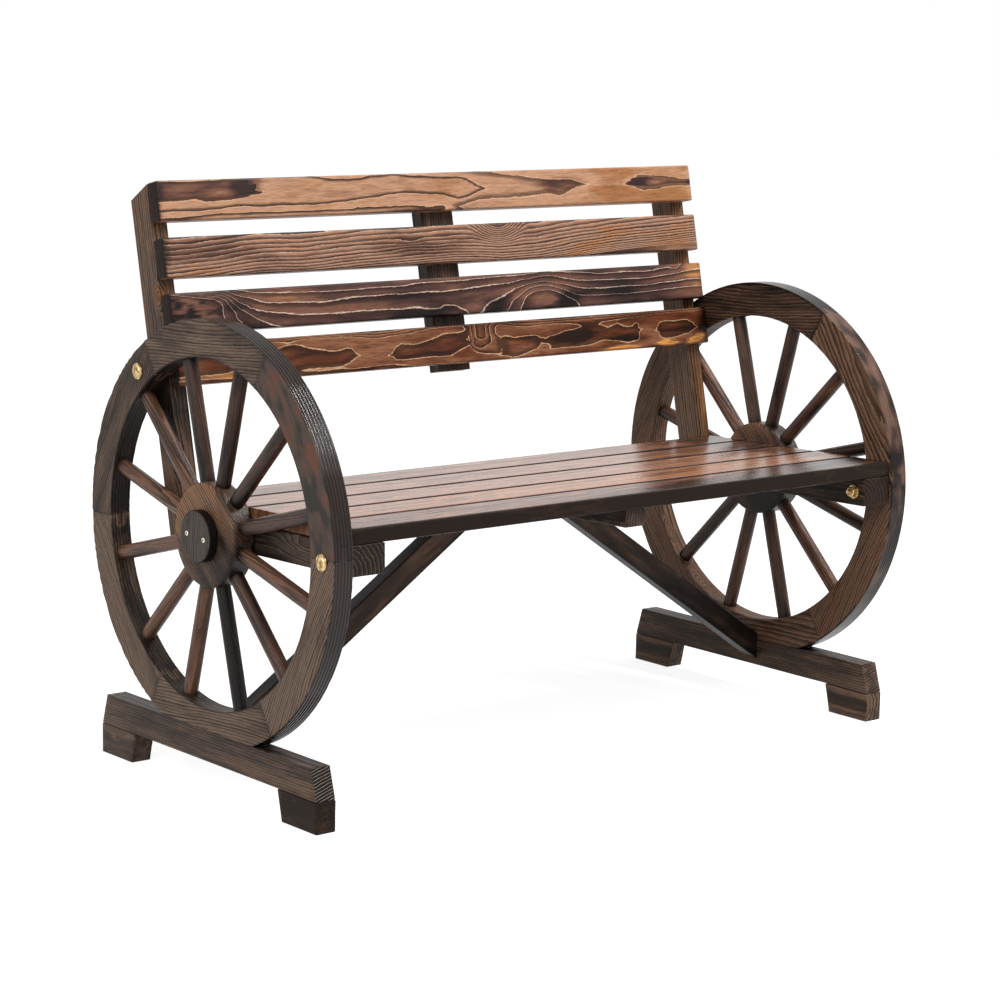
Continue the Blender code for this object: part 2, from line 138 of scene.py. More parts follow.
def torched_fir(name, light, brown, dark, pale, char, amber, bold=0.95, even=0.75, pale_line=0.5, wander=0.05,
                tremble=0.035, gloss=0.36, specular=0.12, fibre=0.40, blotch=0.40, late_share=0.5,
                pale_from=0.88, brushed=0.5, uneven=1.0):
    """Fir that was torched, brushed along the grain, stained brown and varnished. The eye sees dark late
    wood with one sharp edge in every year ring, a thin pale line beside it, fine fibres, browned and then
    charred patches that hide the rings, orange wood where the flame missed, and a satin gloss."""
    material, tree = new_material(name)
    rings = add(tree, "Attribute", out="Fac", attribute_name="rings")
    scorch_and_shade = add(tree, "Attribute", out="Fac", attribute_name="scorch_and_shade")
    grain = add(tree, "Attribute", out="Vector", attribute_name="grain")

    # Metres along and across the board: rings waver slowly and tremble quickly, fibres run 16 mm (real ones are
    # 0.3 mm wide, drawn 1 mm wide so that they show), and the flame leaves patches of its own
    noises = []
    for along, across, detail in ((0.040, 0.006, 1.0), (0.007, 0.0012, 2.0), (0.016, 0.001, 3.0),
                                  (0.090, 0.018, 4.0)):
        place = add(tree, "Mapping", {"Vector": grain, "Scale": (1 / along, 1 / across, 1 / across)})
        noises.append(add(tree, "TexNoise", {"Vector": place, "Scale": 1.0, "Detail": detail}))
    slow, quick, fibres, patches = noises
    year = rings
    for shake, reach in ((slow, wander), (quick, tremble)):
        shift = add(tree, "MapRange", {"Value": shake, "From Min": 0.25, "From Max": 0.75, "To Min": -reach,
                                       "To Max": reach}, clamp=False)
        year = add(tree, "Math", {0: shift, 1: year}, operation="ADD")
    part = add(tree, "Math", {0: year}, operation="FRACT")
    count = add(tree, "Math", {0: year}, operation="FLOOR")
    luck = add(tree, "TexWhiteNoise", {"W": count}, "Value", noise_dimensions="1D")

    # Late wood starts at a sharp edge and fades over its share of the ring; a pale line runs just before the edge
    late = add(tree, "ValToRGB", {"Fac": part})
    stops = late.node.color_ramp.elements
    stops[1].color = (0.0, 0.0, 0.0, 1.0)
    for index, (at_share, value) in enumerate(LATE_WOOD):
        stop = stops.new(at_share * late_share) if index else stops[0]
        stop.color = (value, value, value, 1.0)
    strength = add(tree, "MapRange", {"Value": luck, "To Min": bold * even, "To Max": bold})
    late_here = add(tree, "Math", {0: late, 1: strength}, operation="MULTIPLY")
    pale_here = add(tree, "MapRange", {"Value": part, "From Min": pale_from, "From Max": pale_from + 0.05,
                                       "To Max": pale_line}, interpolation_type="SMOOTHSTEP")
    fibre_here = add(tree, "MapRange", {"Value": fibres, "From Min": 0.42, "From Max": 0.70, "To Max": fibre},
                     interpolation_type="SMOOTHSTEP")

    # Where the wood browns, where it chars and hides the pale lines, and where the flame missed it; painted shade
    # carried in the same channel browns and chars it alike
    patch = add(tree, "MapRange", {"Value": patches, "From Min": 0.3, "From Max": 0.7, "To Min": -blotch,
                                   "To Max": blotch})
    scorch_and_shade_total = add(tree, "Math", {0: scorch_and_shade, 1: patch}, operation="ADD")
    browned, charred, missed = [
        add(tree, "MapRange", {"Value": scorch_and_shade_total, "From Min": start, "From Max": full, "To Max": most},
            interpolation_type="SMOOTHSTEP")
        for start, full, most in ((-0.10, 0.50, 0.92), (0.35, 1.0, 0.94), (-0.25, -0.90, 0.95))]
    spared = add(tree, "MapRange", {"Value": charred, "To Min": 1.0, "To Max": 0.35})
    pale_left = add(tree, "Math", {0: pale_here, 1: spared}, operation="MULTIPLY")

    # The layers of colour, from the bare wood upwards
    tone = colour(light)
    for share, over in ((missed, amber), (browned, brown), (fibre_here, dark), (late_here, dark), (charred, char),
                        (pale_left, pale)):
        tone = add(tree, "Mix", {0: share, MIX_A: tone, MIX_B: colour(over)}, MIX_OUT, data_type="RGBA")
    rough = add(tree, "MapRange", {"Value": fibres, "To Min": gloss - 0.06 * uneven, "To Max": gloss + 0.10 * uneven})
    height = add(tree, "Math", {0: late_here, 1: -0.6, 2: fibres}, operation="MULTIPLY_ADD")
    bump = add(tree, "Bump", {"Height": height, "Strength": brushed, "Distance": 0.0006})
    shader = add(tree, "BsdfPrincipled", {"Base Color": tone, "Roughness": rough, "Normal": bump, "IOR": 1.5,
                                          "Specular IOR Level": specular})
    add(tree, "OutputMaterial", {"Surface": shader})
    return material


# Back boards, from the light one on top to the scorched ones below
BACK_1 = torched_fir("back_fir_light", "#bd8f70", "#7b5040", "#251410", "#dcbc9b", "#281c1e", "#a26c42",
                     pale_line=0.3, fibre=0.35)
BACK_2 = torched_fir("back_fir_medium", "#ab8068", "#765040", "#180b07", "#d0b7a4", "#2a1d18", "#b4774a",
                     wander=0.12, tremble=0.06, bold=1.0, even=0.7, fibre=0.3, late_share=0.62)
BACK_3 = torched_fir("back_fir_dark", "#775142", "#4a322e", "#140b0a", "#d3b8a4", "#0e0a0a", "#b98352",
                     pale_line=0.85, bold=0.75, even=0.7, fibre=0.35, pale_from=0.91)
BACK_4 = torched_fir("back_fir_red", "#8f6045", "#61311a", "#190a05", "#d0a983", "#120804", "#e09a4c",
                     pale_line=0.75, fibre=0.55, pale_from=0.90)
# Seat: the glossiest wood, which mirrors the white room
SEAT = torched_fir("seat_fir", "#ad7a5e", "#754a38", "#2c1912", "#c79c80", "#180d09", "#c07a48", pale_line=0.3,
                   gloss=0.20, specular=0.44, wander=0.2, tremble=0.06, even=0.4, fibre=0.35, blotch=0.25,
                   brushed=0.12)
SEAT_END = torched_fir("browned_end_grain", "#85573a", "#6c4530", "#321d13", "#96704f", "#1c110b", "#8d5e3c",
                       pale_line=0.2, bold=0.6, gloss=0.40, wander=0.1, tremble=0.05, fibre=0.3)
# Wheels: grey-brown rims with bold rings, a smoky felloe without them, shining treads, redder spokes and hubs
RIM_FINISH = dict(pale_line=0.35, gloss=0.42, wander=0.2, tremble=0.08, bold=1.0, even=0.55, fibre=0.25,
                  late_share=0.6)
RIM = torched_fir("rim_fir", "#7d6655", "#4f3e34", "#130d0b", "#95816f", "#0f0b0a", "#7b4f3d", **RIM_FINISH)
RIM_WARM = torched_fir("warm_rim_fir", "#7d5d48", "#4f392d", "#140c09", "#957b66", "#0f0a08", "#7b4c36", **RIM_FINISH)
RIM_SMOKY = torched_fir("smoky_rim_fir", "#55463d", "#4a3b34", "#2a211d", "#6d5b50", "#2f2e2a", "#6e4637",
                        pale_line=0.15, gloss=0.42, fibre=0.35, blotch=0.35)
TREAD = torched_fir("varnished_tread", "#301f16", "#221610", "#040202", "#50423a", "#0a0706", "#4c372b",
                    pale_line=0.1, gloss=0.15, specular=0.3, tremble=0.02, bold=1.0, even=0.9, fibre=0.2,
                    late_share=0.55, brushed=0.02, uneven=0.2)
TREAD_SATIN = torched_fir("satin_tread", "#6b4f41", "#38271f", "#140c09", "#6d5a50", "#0d0806", "#86604e",
                          pale_line=0.1, gloss=0.19, specular=0.2, bold=0.3, fibre=0.3, blotch=0.5, brushed=0.06,
                          uneven=0.4)
SPOKE = torched_fir("spoke_fir", "#7a5643", "#48332a", "#150e0b", "#7d6650", "#080606", "#8a5b3c", pale_line=0.2,
                    gloss=0.28, specular=0.2, wander=0.2, tremble=0.06, even=0.4, fibre=0.35)
HUB = torched_fir("hub_fir", "#946c50", "#524037", "#21150f", "#a3835f", "#110c0c", "#a0703f", pale_line=0.35,
                  gloss=0.42, specular=0.15, wander=0.15, tremble=0.07, bold=1.0, even=0.5, fibre=0.25,
                  late_share=0.6)
HUB_SIDE = torched_fir("varnished_hub_side", "#6f503d", "#523b2d", "#1f1510", "#8a6a52", "#120c09", "#7a5236",
                       pale_line=0.2, gloss=0.26, specular=0.30, wander=0.2, tremble=0.10, bold=0.8, even=0.4,
                       fibre=0.5, late_share=0.6, brushed=0.9)
CAP = torched_fir("charred_cap", "#554c46", "#3c3531", "#1b1716", "#6a625c", "#050404", "#5a4e45", pale_line=0.25,
                  gloss=0.44, wander=0.2, tremble=0.07, even=0.45)
# Frame: duller boards, nearly black ones, and end grain with pale brushed rings
FRAME = torched_fir("frame_fir", "#745a48", "#3d2f28", "#150e0c", "#8b7867", "#0f0b0a", "#8f6037", pale_line=0.35,
                    gloss=0.38, wander=0.2, tremble=0.07, bold=1.0, even=0.45, fibre=0.3, late_share=0.6)
CHARRED = torched_fir("charred_fir", "#3d2c23", "#30221b", "#130d0a", "#5a4638", "#211712", "#4a3427",
                      pale_line=0.3, gloss=0.45, specular=0.08, wander=0.2, tremble=0.06)
END_GRAIN = torched_fir("charred_end_grain", "#33261f", "#231a16", "#0e0a08", "#93796a", "#0e0a08", "#3a2c24",
                        gloss=0.45, wander=0.1, tremble=0.05, fibre=0.3)
BEAM_END = torched_fir("brushed_end_grain", "#2b221d", "#1f1815", "#0c0908", "#d0c4b7", "#0c0908", "#3a2c24",
                       pale_line=0.75, gloss=0.45, wander=0.07, tremble=0.05, fibre=0.3, pale_from=0.89)


def plated_steel(name, thin, thick):
    """Plated steel: a soft metal shine whose colour clouds from thinner to thicker film, yellow chromated zinc
    on the bolts and pale nickel on the small screws."""
    material, tree = new_material(name)
    where = add(tree, "TexCoord", out="Object")
    # film clouds some 4 mm across
    film = add(tree, "TexNoise", {"Vector": where, "Scale": 1 / 0.004, "Detail": 2.0})
    tint = add(tree, "ValToRGB", {"Fac": film})
    for stop, place, film_colour in zip(tint.node.color_ramp.elements, (0.35, 0.68), (thin, thick)):
        stop.position, stop.color = place, colour(film_colour)
    rough = add(tree, "MapRange", {"Value": film, "To Min": 0.20, "To Max": 0.40})
    shader = add(tree, "BsdfPrincipled", {"Base Color": tint, "Metallic": 1.0, "Roughness": rough})
    add(tree, "OutputMaterial", {"Surface": shader})
    return material


ZINC = plated_steel("yellow_zinc_plate", "#8f6a3c", "#e3cd9c")
NICKEL = plated_steel("nickel_plate", "#d6cfae", "#f4efdc")


def start(primitive, **sizes):
    """A new primitive, alone and open in edit mode."""
    bpy.ops.object.select_all(action="DESELECT")
    primitive(**sizes)
    bpy.ops.object.mode_set(mode="EDIT")
    return bpy.context.active_object


def edit(obj):
    """Makes obj the only one that operators act on, and opens it in edit mode."""
    bpy.ops.object.select_all(action="DESELECT")
    obj.select_set(True)
    bpy.context.view_layer.objects.active = obj
    bpy.ops.object.mode_set(mode="EDIT")


def pick(kind, wanted):
    """In edit mode, selects only the points, edges or faces that are wanted."""
    bpy.ops.mesh.select_mode(type=kind)
    bpy.ops.mesh.select_all(action="DESELECT")
    mesh = bpy.context.active_object.data
    bm = bmesh.from_edit_mesh(mesh)
    for element in {"VERT": bm.verts, "EDGE": bm.edges, "FACE": bm.faces}[kind]:
        if wanted(element):
            element.select_set(True)
    bm.select_flush_mode()
    bmesh.update_edit_mesh(mesh)


def runs_along(axis, over):
    """Test for the edges that run along an axis and are longer than a size."""
    def wanted(edge):
        way = edge.verts[1].co - edge.verts[0].co
        return way.length > over and abs(way[axis]) > 0.7 * way.length
    return wanted


def close_up():
    """In edit mode, merges doubles, turns the faces outwards and leaves edit mode, smooth but for sharp edges."""
    bpy.ops.mesh.select_all(action="SELECT")
    bpy.ops.mesh.remove_doubles(threshold=MERGE)
    bpy.ops.mesh.normals_make_consistent(inside=False)
    bpy.ops.object.mode_set(mode="OBJECT")
    bpy.ops.object.shade_smooth_by_angle(angle=SMOOTH_UNDER)


OFF = dict(use_fill=True, clear_outer=True)   # for a cut whose waste falls off


def saw(point, normal, **waste):
    """In edit mode, cuts everything along a plane, whose normal points to the waste."""
    bpy.ops.mesh.select_all(action="SELECT")
    bpy.ops.mesh.bisect(plane_co=point, plane_no=normal, **waste)


def split_cells(size, cells):
    """In edit mode, divides the long edges along each axis into cells of about the given size."""
    for axis in range(3):
        cuts = round(size[axis] / cells[axis]) - 1
        if cuts > 0:
            pick("EDGE", runs_along(axis, size[axis] * 0.45))
            bpy.ops.mesh.subdivide(number_cuts=cuts)


def board(name, size, edge, cells, cuts=()):
    """A board along X with its face up: sawn from a block, cut at its ends, edges rounded, then divided.
    A cut is a point of its plane and the plane's normal towards the waste."""
    obj = start(bpy.ops.mesh.primitive_cube_add, size=1.0)
    obj.name = obj.data.name = name
    bpy.ops.transform.resize(value=size)
    for point, normal in cuts:
        saw(point, normal, **OFF)
    bpy.ops.mesh.select_mode(type="EDGE")
    bpy.ops.mesh.select_all(action="SELECT")
    bpy.ops.mesh.bevel(offset=edge, segments=3, profile=0.5, affect="EDGES")
    split_cells(size, cells)
    close_up()
    return obj


def points_mm(obj):
    flat = np.empty(len(obj.data.vertices) * 3)
    obj.data.vertices.foreach_get("co", flat)
    return flat.reshape(-1, 3) * 1000


def clouds(at, length, across, number):
    """Smooth noise from -1 to 1, so long along the fibres and so wide across them, in mm."""
    spread = at / np.array((length, across, across)) + np.array((number * 7.31, number * 3.17, number * 5.77))
    return np.array([noise.noise(Vector(p)) for p in spread])


def hill(at, x, y, half_length, half_width, turn=0.0):
    """1 in the middle of an oval on a board's face, and 0 outside it; turn is in degrees."""
    c, s = math.cos(math.radians(turn)), math.sin(math.radians(turn))
    along, across = at[:, 0] - x, at[:, 1] - y
    off = np.hypot((c * along + s * across) / half_length, (c * across - s * along) / half_width)
    rise = np.clip(1 - off, 0, 1)
    return rise * rise * (3 - 2 * rise)


STEEP, GROOVE_AT = 0.15, 0.2   # share of a year ring where the brushed wood drops, and where a groove lies


def give_wood(obj, number, rings, scorch_and_shade, relief=0.2, loose=0.45, grooves=0.0):
    """Writes fibre places, year rings and scorching, with the painted shade that some pieces carry in it, on a piece
    that lies along its fibres. Relief is how deep, in mm, the soft wood is brushed out of every ring, and grooves how
    deep a round groove runs along each."""
    at = points_mm(obj)
    field = rings + 0.5 + loose * clouds(at, 150.0, 22.0, number)
    field += 0.3 * loose * clouds(at, 45.0, 7.0, number + 0.5)
    scorch_and_shade_total = scorch_and_shade + 0.25 * clouds(at, 260.0, 60.0, number + 0.25)
    mesh = obj.data
    normals = np.empty(len(mesh.vertices) * 3)
    mesh.vertices.foreach_get("normal", normals)
    wave = np.mod(field, 1.0)
    sunk = np.where(wave < STEEP, wave / STEEP, np.clip((1 - wave) / (1 - STEEP), 0, 1))
    groove = (0.5 + 0.5 * np.cos(math.tau * (wave - GROOVE_AT))) ** 2
    moved = at - normals.reshape(-1, 3) * (sunk * relief + groove * grooves)[:, None]
    mesh.vertices.foreach_set("co", (moved / 1000).ravel())
    shift = np.array((number * 0.731, number * 0.317, number * 0.577))
    for name, kind, values in (("grain", "FLOAT_VECTOR", at / 1000 + shift), ("rings", "FLOAT", field),
                               ("scorch_and_shade", "FLOAT", scorch_and_shade_total)):
        key = "vector" if kind == "FLOAT_VECTOR" else "value"
        mesh.attributes.new(name, kind, "POINT").data.foreach_set(key, values.astype(np.float32).ravel())
    mesh.update()


def scorched_rim_of(at, size, ends=1.3, edges=0.3):
    """More scorching on the ends and the long edges of a board, where the flame licks round."""
    half = np.array(size) * 500
    to_end, to_edge = half[0] - np.abs(at[:, 0]), half[1] - np.abs(at[:, 1])
    return ends * np.exp(-to_end / 2.2) + edges * np.exp(-to_edge / 2.5)


def set_down(obj, place, material, slot, *nodes, others=()):
    """Puts a finished piece in its place, which goes into its mesh, attaches it to the root body and hides the solids
    that it replaces. Others are pairs of a material and a test for the faces that take it."""
    obj.data.materials.clear()
    obj.data.materials.append(material)
    for index, (other, wanted) in enumerate(others):
        obj.data.materials.append(other)
        for face in obj.data.polygons:
            if wanted(face):
                face.material_index = index + 1
    obj.data.transform(place)
    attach(obj, "root")
    if nodes:
        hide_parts(*nodes)


def stands(node, turn):
    """Size and middle of a solid measured in a turned frame, and the place of that frame there."""
    back = turn.inverted()
    points = [back @ v.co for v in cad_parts[node].data.vertices]
    low = Vector([min(p[i] for p in points) for i in range(3)])
    high = Vector([max(p[i] for p in points) for i in range(3)])
    return high - low, turn @ Matrix.Translation((low + high) / 2)


LYING = Matrix.Rotation(-SEAT_TILT, 4, "X")
LEANING = Matrix.Rotation(-BACK_LEAN, 4, "X") @ Matrix.Rotation(math.pi / 2, 4, "X")


def ridge(at, ridge_x, ridge_y, width, spacing):
    """Rings of a board sawn beside the heart: they close up from a ridge line towards both edges."""
    line = np.interp(at[:, 0], ridge_x, ridge_y)
    return -(np.hypot(at[:, 1] - line, width) - width) / spacing


def depth_in(at, top, low):
    """How many mm inside an outline, drawn between its top and low edges; an edge left out is open."""
    inside = np.full(len(at), 1e3)
    drawn = top or low
    if top:
        inside = np.minimum(inside, np.interp(at[:, 0], *zip(*top)) - at[:, 1])
    if low:
        inside = np.minimum(inside, at[:, 1] - np.interp(at[:, 0], *zip(*low)))
    return np.minimum(inside, 0.35 * np.minimum(at[:, 0] - drawn[0][0], drawn[-1][0] - at[:, 0]))


FAR = 700   # beyond any board's end, in mm

# Figure of the back boards: outlines of year rings as (top edge, low edge, fade, tone), places from the middle
FIGURE_1 = (
    # lowest line, then the long wavy one that closes in a tongue, then the lance round it
    ([(-FAR, -25), (-452, -23), (-420, -21), (-387, -20), (-194, -20), (-129, -18), (-65, -18), (-32, -20),
      (-7, -18), (10, -23), (18, -27), (FAR, -40)], None, 9, 0),
    ([(-FAR, 40), (-240, 29), (-194, 23), (-161, 21), (-145, 22), (-129, 26), (-90, 27), (-40, 23), (-4, 21),
      (31, 20), (44, 17), (60, 9), (77, 1)],
     [(-FAR, -15), (-445, -15), (-397, -14), (-355, -11), (-323, -12), (-290, -11), (-216, -12.5), (-161, -9),
      (-136, -6), (-103, -3), (-71, -1), (-32, -3), (-7, -4), (9, -8), (25, -12), (44, -8), (57, -4), (77, 1)], 9, 0),
    ([(-FAR, 60), (40, 31), (60, 28), (93, 24), (125, 20), (157, 16), (202, 12), (241, 11), (254, 7), (274, 3)],
     [(-FAR, -60), (15, -25), (28, -21), (44, -17), (60, -14), (93, -12.6), (157, -11), (196, -8), (206, -11),
      (218, -12), (228, -9), (235, -5), (254, 0), (274, 3)], 16, 0),
    # dark islands at both ends
    ([(-FAR, 26), (-380, 25), (-374, 28), (-340, 26), (-326, 21), (-332, 16), (-322, 11), (-312, 5)],
     [(-FAR, -5), (-450, -2), (-420, 0), (-404, -4), (-378, -2), (-355, 0), (-332, 4), (-312, 5)], 12, 0.6),
    ([(348, 2), (360, 10), (370, 13), (383, 14.5), (415, 12), (447, 9), (457, 7), (FAR, 6)],
     [(348, 2), (357, -3), (370, -6), (383, -8), (409, -7), (425, -5), (447, -4), (FAR, -4)], 12, 1.7),
)
FIGURE_3 = (
    ([(-FAR, 60), (-384, 24), (-361, 22), (-316, 19), (-258, 17), (-194, 16.5), (0, 21), (93, 23), (141, 24),
      (164, 27), (177, 27), (206, 24), (248, 21), (270, 19), (319, 20), (360, 18), (399, 20), (415, 22),
      (425, 19), (431, 18), (438, 24), (450, 40), (FAR, 60)], None, 14, 0),
    ([(-FAR, 60), (-377, 22), (-361, 17), (-345, 11), (-329, 6.5), (-303, 5), (-258, 3), (-236, 2), (-206, 5),
      (-177, 6.5), (-81, 7.4), (0, 8), (60, 10.6), (93, 12), (125, 15.5), (157, 18), (180, 17), (206, 14),
      (228, 10), (254, 8), (319, 8), (360, 7), (399, 9), (441, 14), (FAR, 30)], None, 18, 0),
    ([(-FAR, 60), (-390, 22), (-377, 10.6), (-365, 2.6), (-348, -2), (-323, -6.5), (-303, -9.4), (-274, -12.6),
      (-226, -14), (-71, -14.5), (-55, -18), (-32, -18), (-23, -13.5), (0, -14), (5, -19), (14, -23), (20, -40),
      (FAR, -60)], None, 22, 0),
    ([(46, -26), (49, -20), (57, -14), (76, -9), (96, -2), (109, 3.5), (125, 8), (144, 11), (164, 12.6), (180, 11),
      (196, 7.4), (215, 2.6), (235, -0.6), (270, -3), (360, -3), (399, -0.6), (448, 1.6), (FAR, 2)], None, 26, 0),
    ([(94, -30), (98, -18), (102, -12), (115, -5), (125, 1), (138, 5), (160, 7), (180, 6), (193, 1), (206, -2),
      (222, -7), (241, -10), (286, -12), (335, -11), (399, -9), (448, -6), (FAR, -5)], None, 18, 0),
    ([(113, -30), (120, -18), (125, -12), (131, -5.5), (141, -0.6), (151, 2.6), (170, 3.5), (183, 0), (196, -5.5),
      (209, -13), (222, -20), (230, -30)], None, 22, 0),
    # fan of lines where a branch left the trunk
    ([(-FAR, 60), (-405, 16), (-399, 6), (-397, -8), (-392, -40)], None, 14, 0),
    ([(-FAR, 60), (-399, 20), (-390, 10), (-384, 2), (-379, -6), (-371, -20), (-366, -40)], None, 14, 0),
    ([(-FAR, 60), (-394, 23), (-381, 12), (-373, 4), (-358, -2), (-353, -9), (-342, -17), (-323, -23), (-303, -28),
      (FAR, -60)], None, 16, 0),
)
FIGURE_4 = (
    ([(-365, -4), (-330, 6), (-314, 12), (-303, 16.5), (-293, 15.5), (-274, 12), (-258, 7.4), (-232, 4), (-216, 4),
      (-203, 7), (-193, 5), (-187, -0.6), (-184, -5.5)],
     [(-365, -4), (-340, -18), (-300, -22), (-274, -18), (-226, -18), (-210, -17.7), (-200, -13.5), (-190, -9),
      (-184, -5.5)], 16, 0.42),
    ([(-FAR, 8), (-420, 10), (-390, 2), (-383, -6)], [(-FAR, -18), (-420, -16), (-395, -14), (-383, -6)], 16, 0.42),
    ([(-128, -8.7), (-124, -5), (-119, 1), (-110, 6), (-81, 4), (-65, 7), (-48, 10.6), (-32, 14.5), (-6, 15.5),
      (6, 17), (13, 8), (16, -2)],
     [(-128, -8.7), (-126, -12), (-119, -16), (-103, -17), (-65, -14.5), (-19, -16), (-10, -10), (16, -2)], 16, 0.42),
    ([(10, 40), (66, 40)], [(10, 26), (16, 6), (15, -2), (22, -12), (38, -16), (57, -16), (70, -12), (74, -5),
                            (73, 1), (67, 8), (57, 20), (66, 40)], 12, 0),
    ([(18, 40), (56, 40)], [(18, 26), (20, 12), (19, 1), (25, -5.5), (35, -8), (48, -6), (54, -0.6), (53, 7),
                            (49, 20), (56, 40)], 9, 0),
    ([(22, 40), (50, 40)], [(22, 26), (23, 8), (30, 5), (42, 5), (46, 9), (50, 40)], 7, 0),
    ([(70, 4), (77, 7), (99, 2.6), (125, 3.5), (141, 2.6), (148, -2), (150, -5.5)],
     [(70, -20), (93, -25), (106, -23), (125, -19), (138, -15), (150, -5.5)], 14, 0.42),
    ([(165, 0), (196, 7), (219, 7.4), (228, 12), (254, 14), (280, 7.4), (299, 12), (312, 6), (328, 7), (330, 13),
      (338, 10), (344, 0)],
     [(165, -17), (189, -17), (222, -16), (244, -15), (254, -12), (270, -10), (286, -13), (319, -17), (336, -15),
      (344, 0)], 12, 0.42),
    ([(373, -3), (376, 3), (380, 7), (388, 10), (415, 9), (440, 10), (452, 4), (456, -2)],
     [(373, -3), (376, -8), (382, -12), (392, -15), (412, -14), (440, -10), (456, -2)], 12, 0.35),
    # straight years along the top edge, and one along the lower one
    (None, [(-FAR, 21), (-200, 22), (-160, 17), (-120, 18), (-60, 24), (20, 30), (80, 22), (110, 18), (160, 18),
            (220, 15), (300, 17), (360, 24), (FAR, 26)], 8, 0),
    (None, [(-FAR, 25), (-200, 25), (-150, 20), (-100, 23), (-40, 28), (60, 28), (100, 22), (200, 21), (300, 22),
            (FAR, 30)], 6, 0),
    (None, [(-FAR, 30), (-150, 24), (-90, 27), (-40, 33), (80, 30), (160, 24), (300, 25), (FAR, 40)], 6, 0),
    ([(-FAR, -22), (-210, -24), (-150, -22), (-130, -23), (-80, -26), (FAR, -40)], None, 8, 0),
)


def drawn_rings(at, figure, number, torn=1.5):
    """Year rings and scorching of drawn outlines, with the small wavering that saw and growth give them.
    Inside each outline it is one year later; the step takes fade mm, over which the late wood shades off, and the
    scorching inside changes by tone. The ends of a scorched outline are torn along the fibres, so far in mm."""
    loose = at.copy()
    loose[:, 1] += 1.2 * clouds(at, 45.0, 14.0, number + 0.1) + 0.8 * clouds(at, 11.0, 6.0, number + 0.2)
    frayed = loose.copy()
    frayed[:, 0] += torn * clouds(at, 90.0, 2.4, number + 0.3)
    rings, scorch_and_shade = np.zeros(len(at)), np.zeros(len(at))
    for top, low, fade, tone in figure:
        inside = depth_in(frayed if tone else loose, top, low)
        rings += 0.5 + np.clip(inside / fade, -0.5, 0.5)
        scorch_and_shade += tone * np.clip(inside / 4.0 - 0.2, 0, 1)
    return rings, scorch_and_shade


def marked(at, marks):
    """Sum of marks on a board's face; each is a strength and the oval that it fills, as in hill."""
    return sum(strength * hill(at, *oval) for strength, *oval in marks)


def broken(at, level, strength, *cloud):
    """Share of a mark that clouds leave, from 0 to 1."""
    return np.clip(level + strength * clouds(at, *cloud), 0, 1)


# Scorched marks on the back boards, and lighter ones where the flame missed; the last mark on the third board is
# painted shade
MARKS_1 = ((0.75, -338, 14, 40, 24), (-0.3, -385, 9, 30, 10), (0.15, -460, 14, 60, 14), (0.95, 226, 3, 95, 24),
           (0.6, 362, 3, 26, 20), (-0.5, 405, 3, 28, 7), (-0.5, 420, 0, 330, 110), (-0.4, 400, -30, 160, 50))
MARKS_2 = ((1.1, 91, 32, 22, 16), (-0.9, -440, -22, 130, 20), (-0.75, 250, -18, 130, 18, 14),
           (0.35, -100, -10, 260, 22), (0.45, -400, 4, 190, 40), (-0.45, 400, 0, 270, 60))
# On the third board, the last mark darkens its right part: painted shade, as less light falls on that end.
MARKS_3 = ((0.9, -60, -25, 90, 16), (0.75, 72, -18, 40, 22), (0.9, 212, -17, 34, 20), (-1.7, 485, 14, 95, 44),
           (-0.55, -290, 4, 130, 40), (0.5, -372, -10, 40, 40), (0.35, -60, 0, 130, 30), (-0.5, 162, -14, 36, 18),
           (0.4, 330, -10, 170, 60))
MARKS_4 = ((0.95, 215, -5, 42, 11), (0.6, 310, -11, 60, 9), (-0.2, 290, 6, 70, 9), (0.42, 360, 5, 260, 80),
           (0.45, 400, -22, 90, 9), (0.9, 490, 0, 40, 60), (0.3, 0, 27, 300, 10), (0.3, 230, 14, 220, 30))
FLAMES = ((1.0, 300, -26, 62, 6, 1), (1.0, 396, -23, 34, 8, -6), (1.0, 452, -21, 30, 10, 20))

# Second back board: the line that its years follow, mm along and across, and their knot in the top edge
FLOW_X = (-480, -440, -400, -360, -330, -300, -260, -230, -160, -80, 0, 40, 91, 160, 240, 320, 480)
FLOW_Y = (-14, -12, -9, -5, -3, -3, -4.5, -3, 1, 3, 5, 4, 0, 2, 10, 16, 24)
RINGS_2 = ((6.5, 91, 33, 60, 44), (0.6, -69, 7, 30, 9), (-0.6, -69, -5, 50, 10))
YEAR, WIDENING = 5.6, 0.088   # mm from year to year on that line, and how that grows per mm above it


def back_slat_1(at):
    rings, scorch_and_shade = drawn_rings(at, FIGURE_1, 1, 11.0)
    return rings, scorch_and_shade - 0.12 + marked(at, MARKS_1)


def back_slat_2(at):
    """Years that are wide above and narrow below and bend down round a knot in the top edge."""
    above = np.clip(at[:, 1] - np.interp(at[:, 0], FLOW_X, FLOW_Y), -38, 45)
    rings = np.log(YEAR + WIDENING * above) / WIDENING + at[:, 2] * 0.05 + marked(at, RINGS_2)
    return rings, marked(at, MARKS_2)


def back_slat_3(at):
    rings, scorch_and_shade = drawn_rings(at, FIGURE_3, 3)
    scorch_and_shade += 0.25 + marked(at, MARKS_3) + 0.7 * hill(at, 164, -16, 40, 24) * clouds(at, 8.0, 4.0, 3.7)
    return rings, scorch_and_shade + hill(at, -450, 0, 85, 90) * np.clip(1.6 * clouds(at, 7.0, 4.0, 3.4) - 0.05, -0.4, 1)


def back_slat_4(at):
    rings, scorch_and_shade = drawn_rings(at, FIGURE_4, 4)
    scorch_and_shade += marked(at, MARKS_4) - 3.6 * marked(at, FLAMES) * broken(at, 0.7, 0.9, 26.0, 3.0, 4.4)
    return rings, scorch_and_shade - 1.3 * hill(at, -440, -20, 90, 14) * broken(at, 0.6, 1.0, 60.0, 5.0, 4.6)


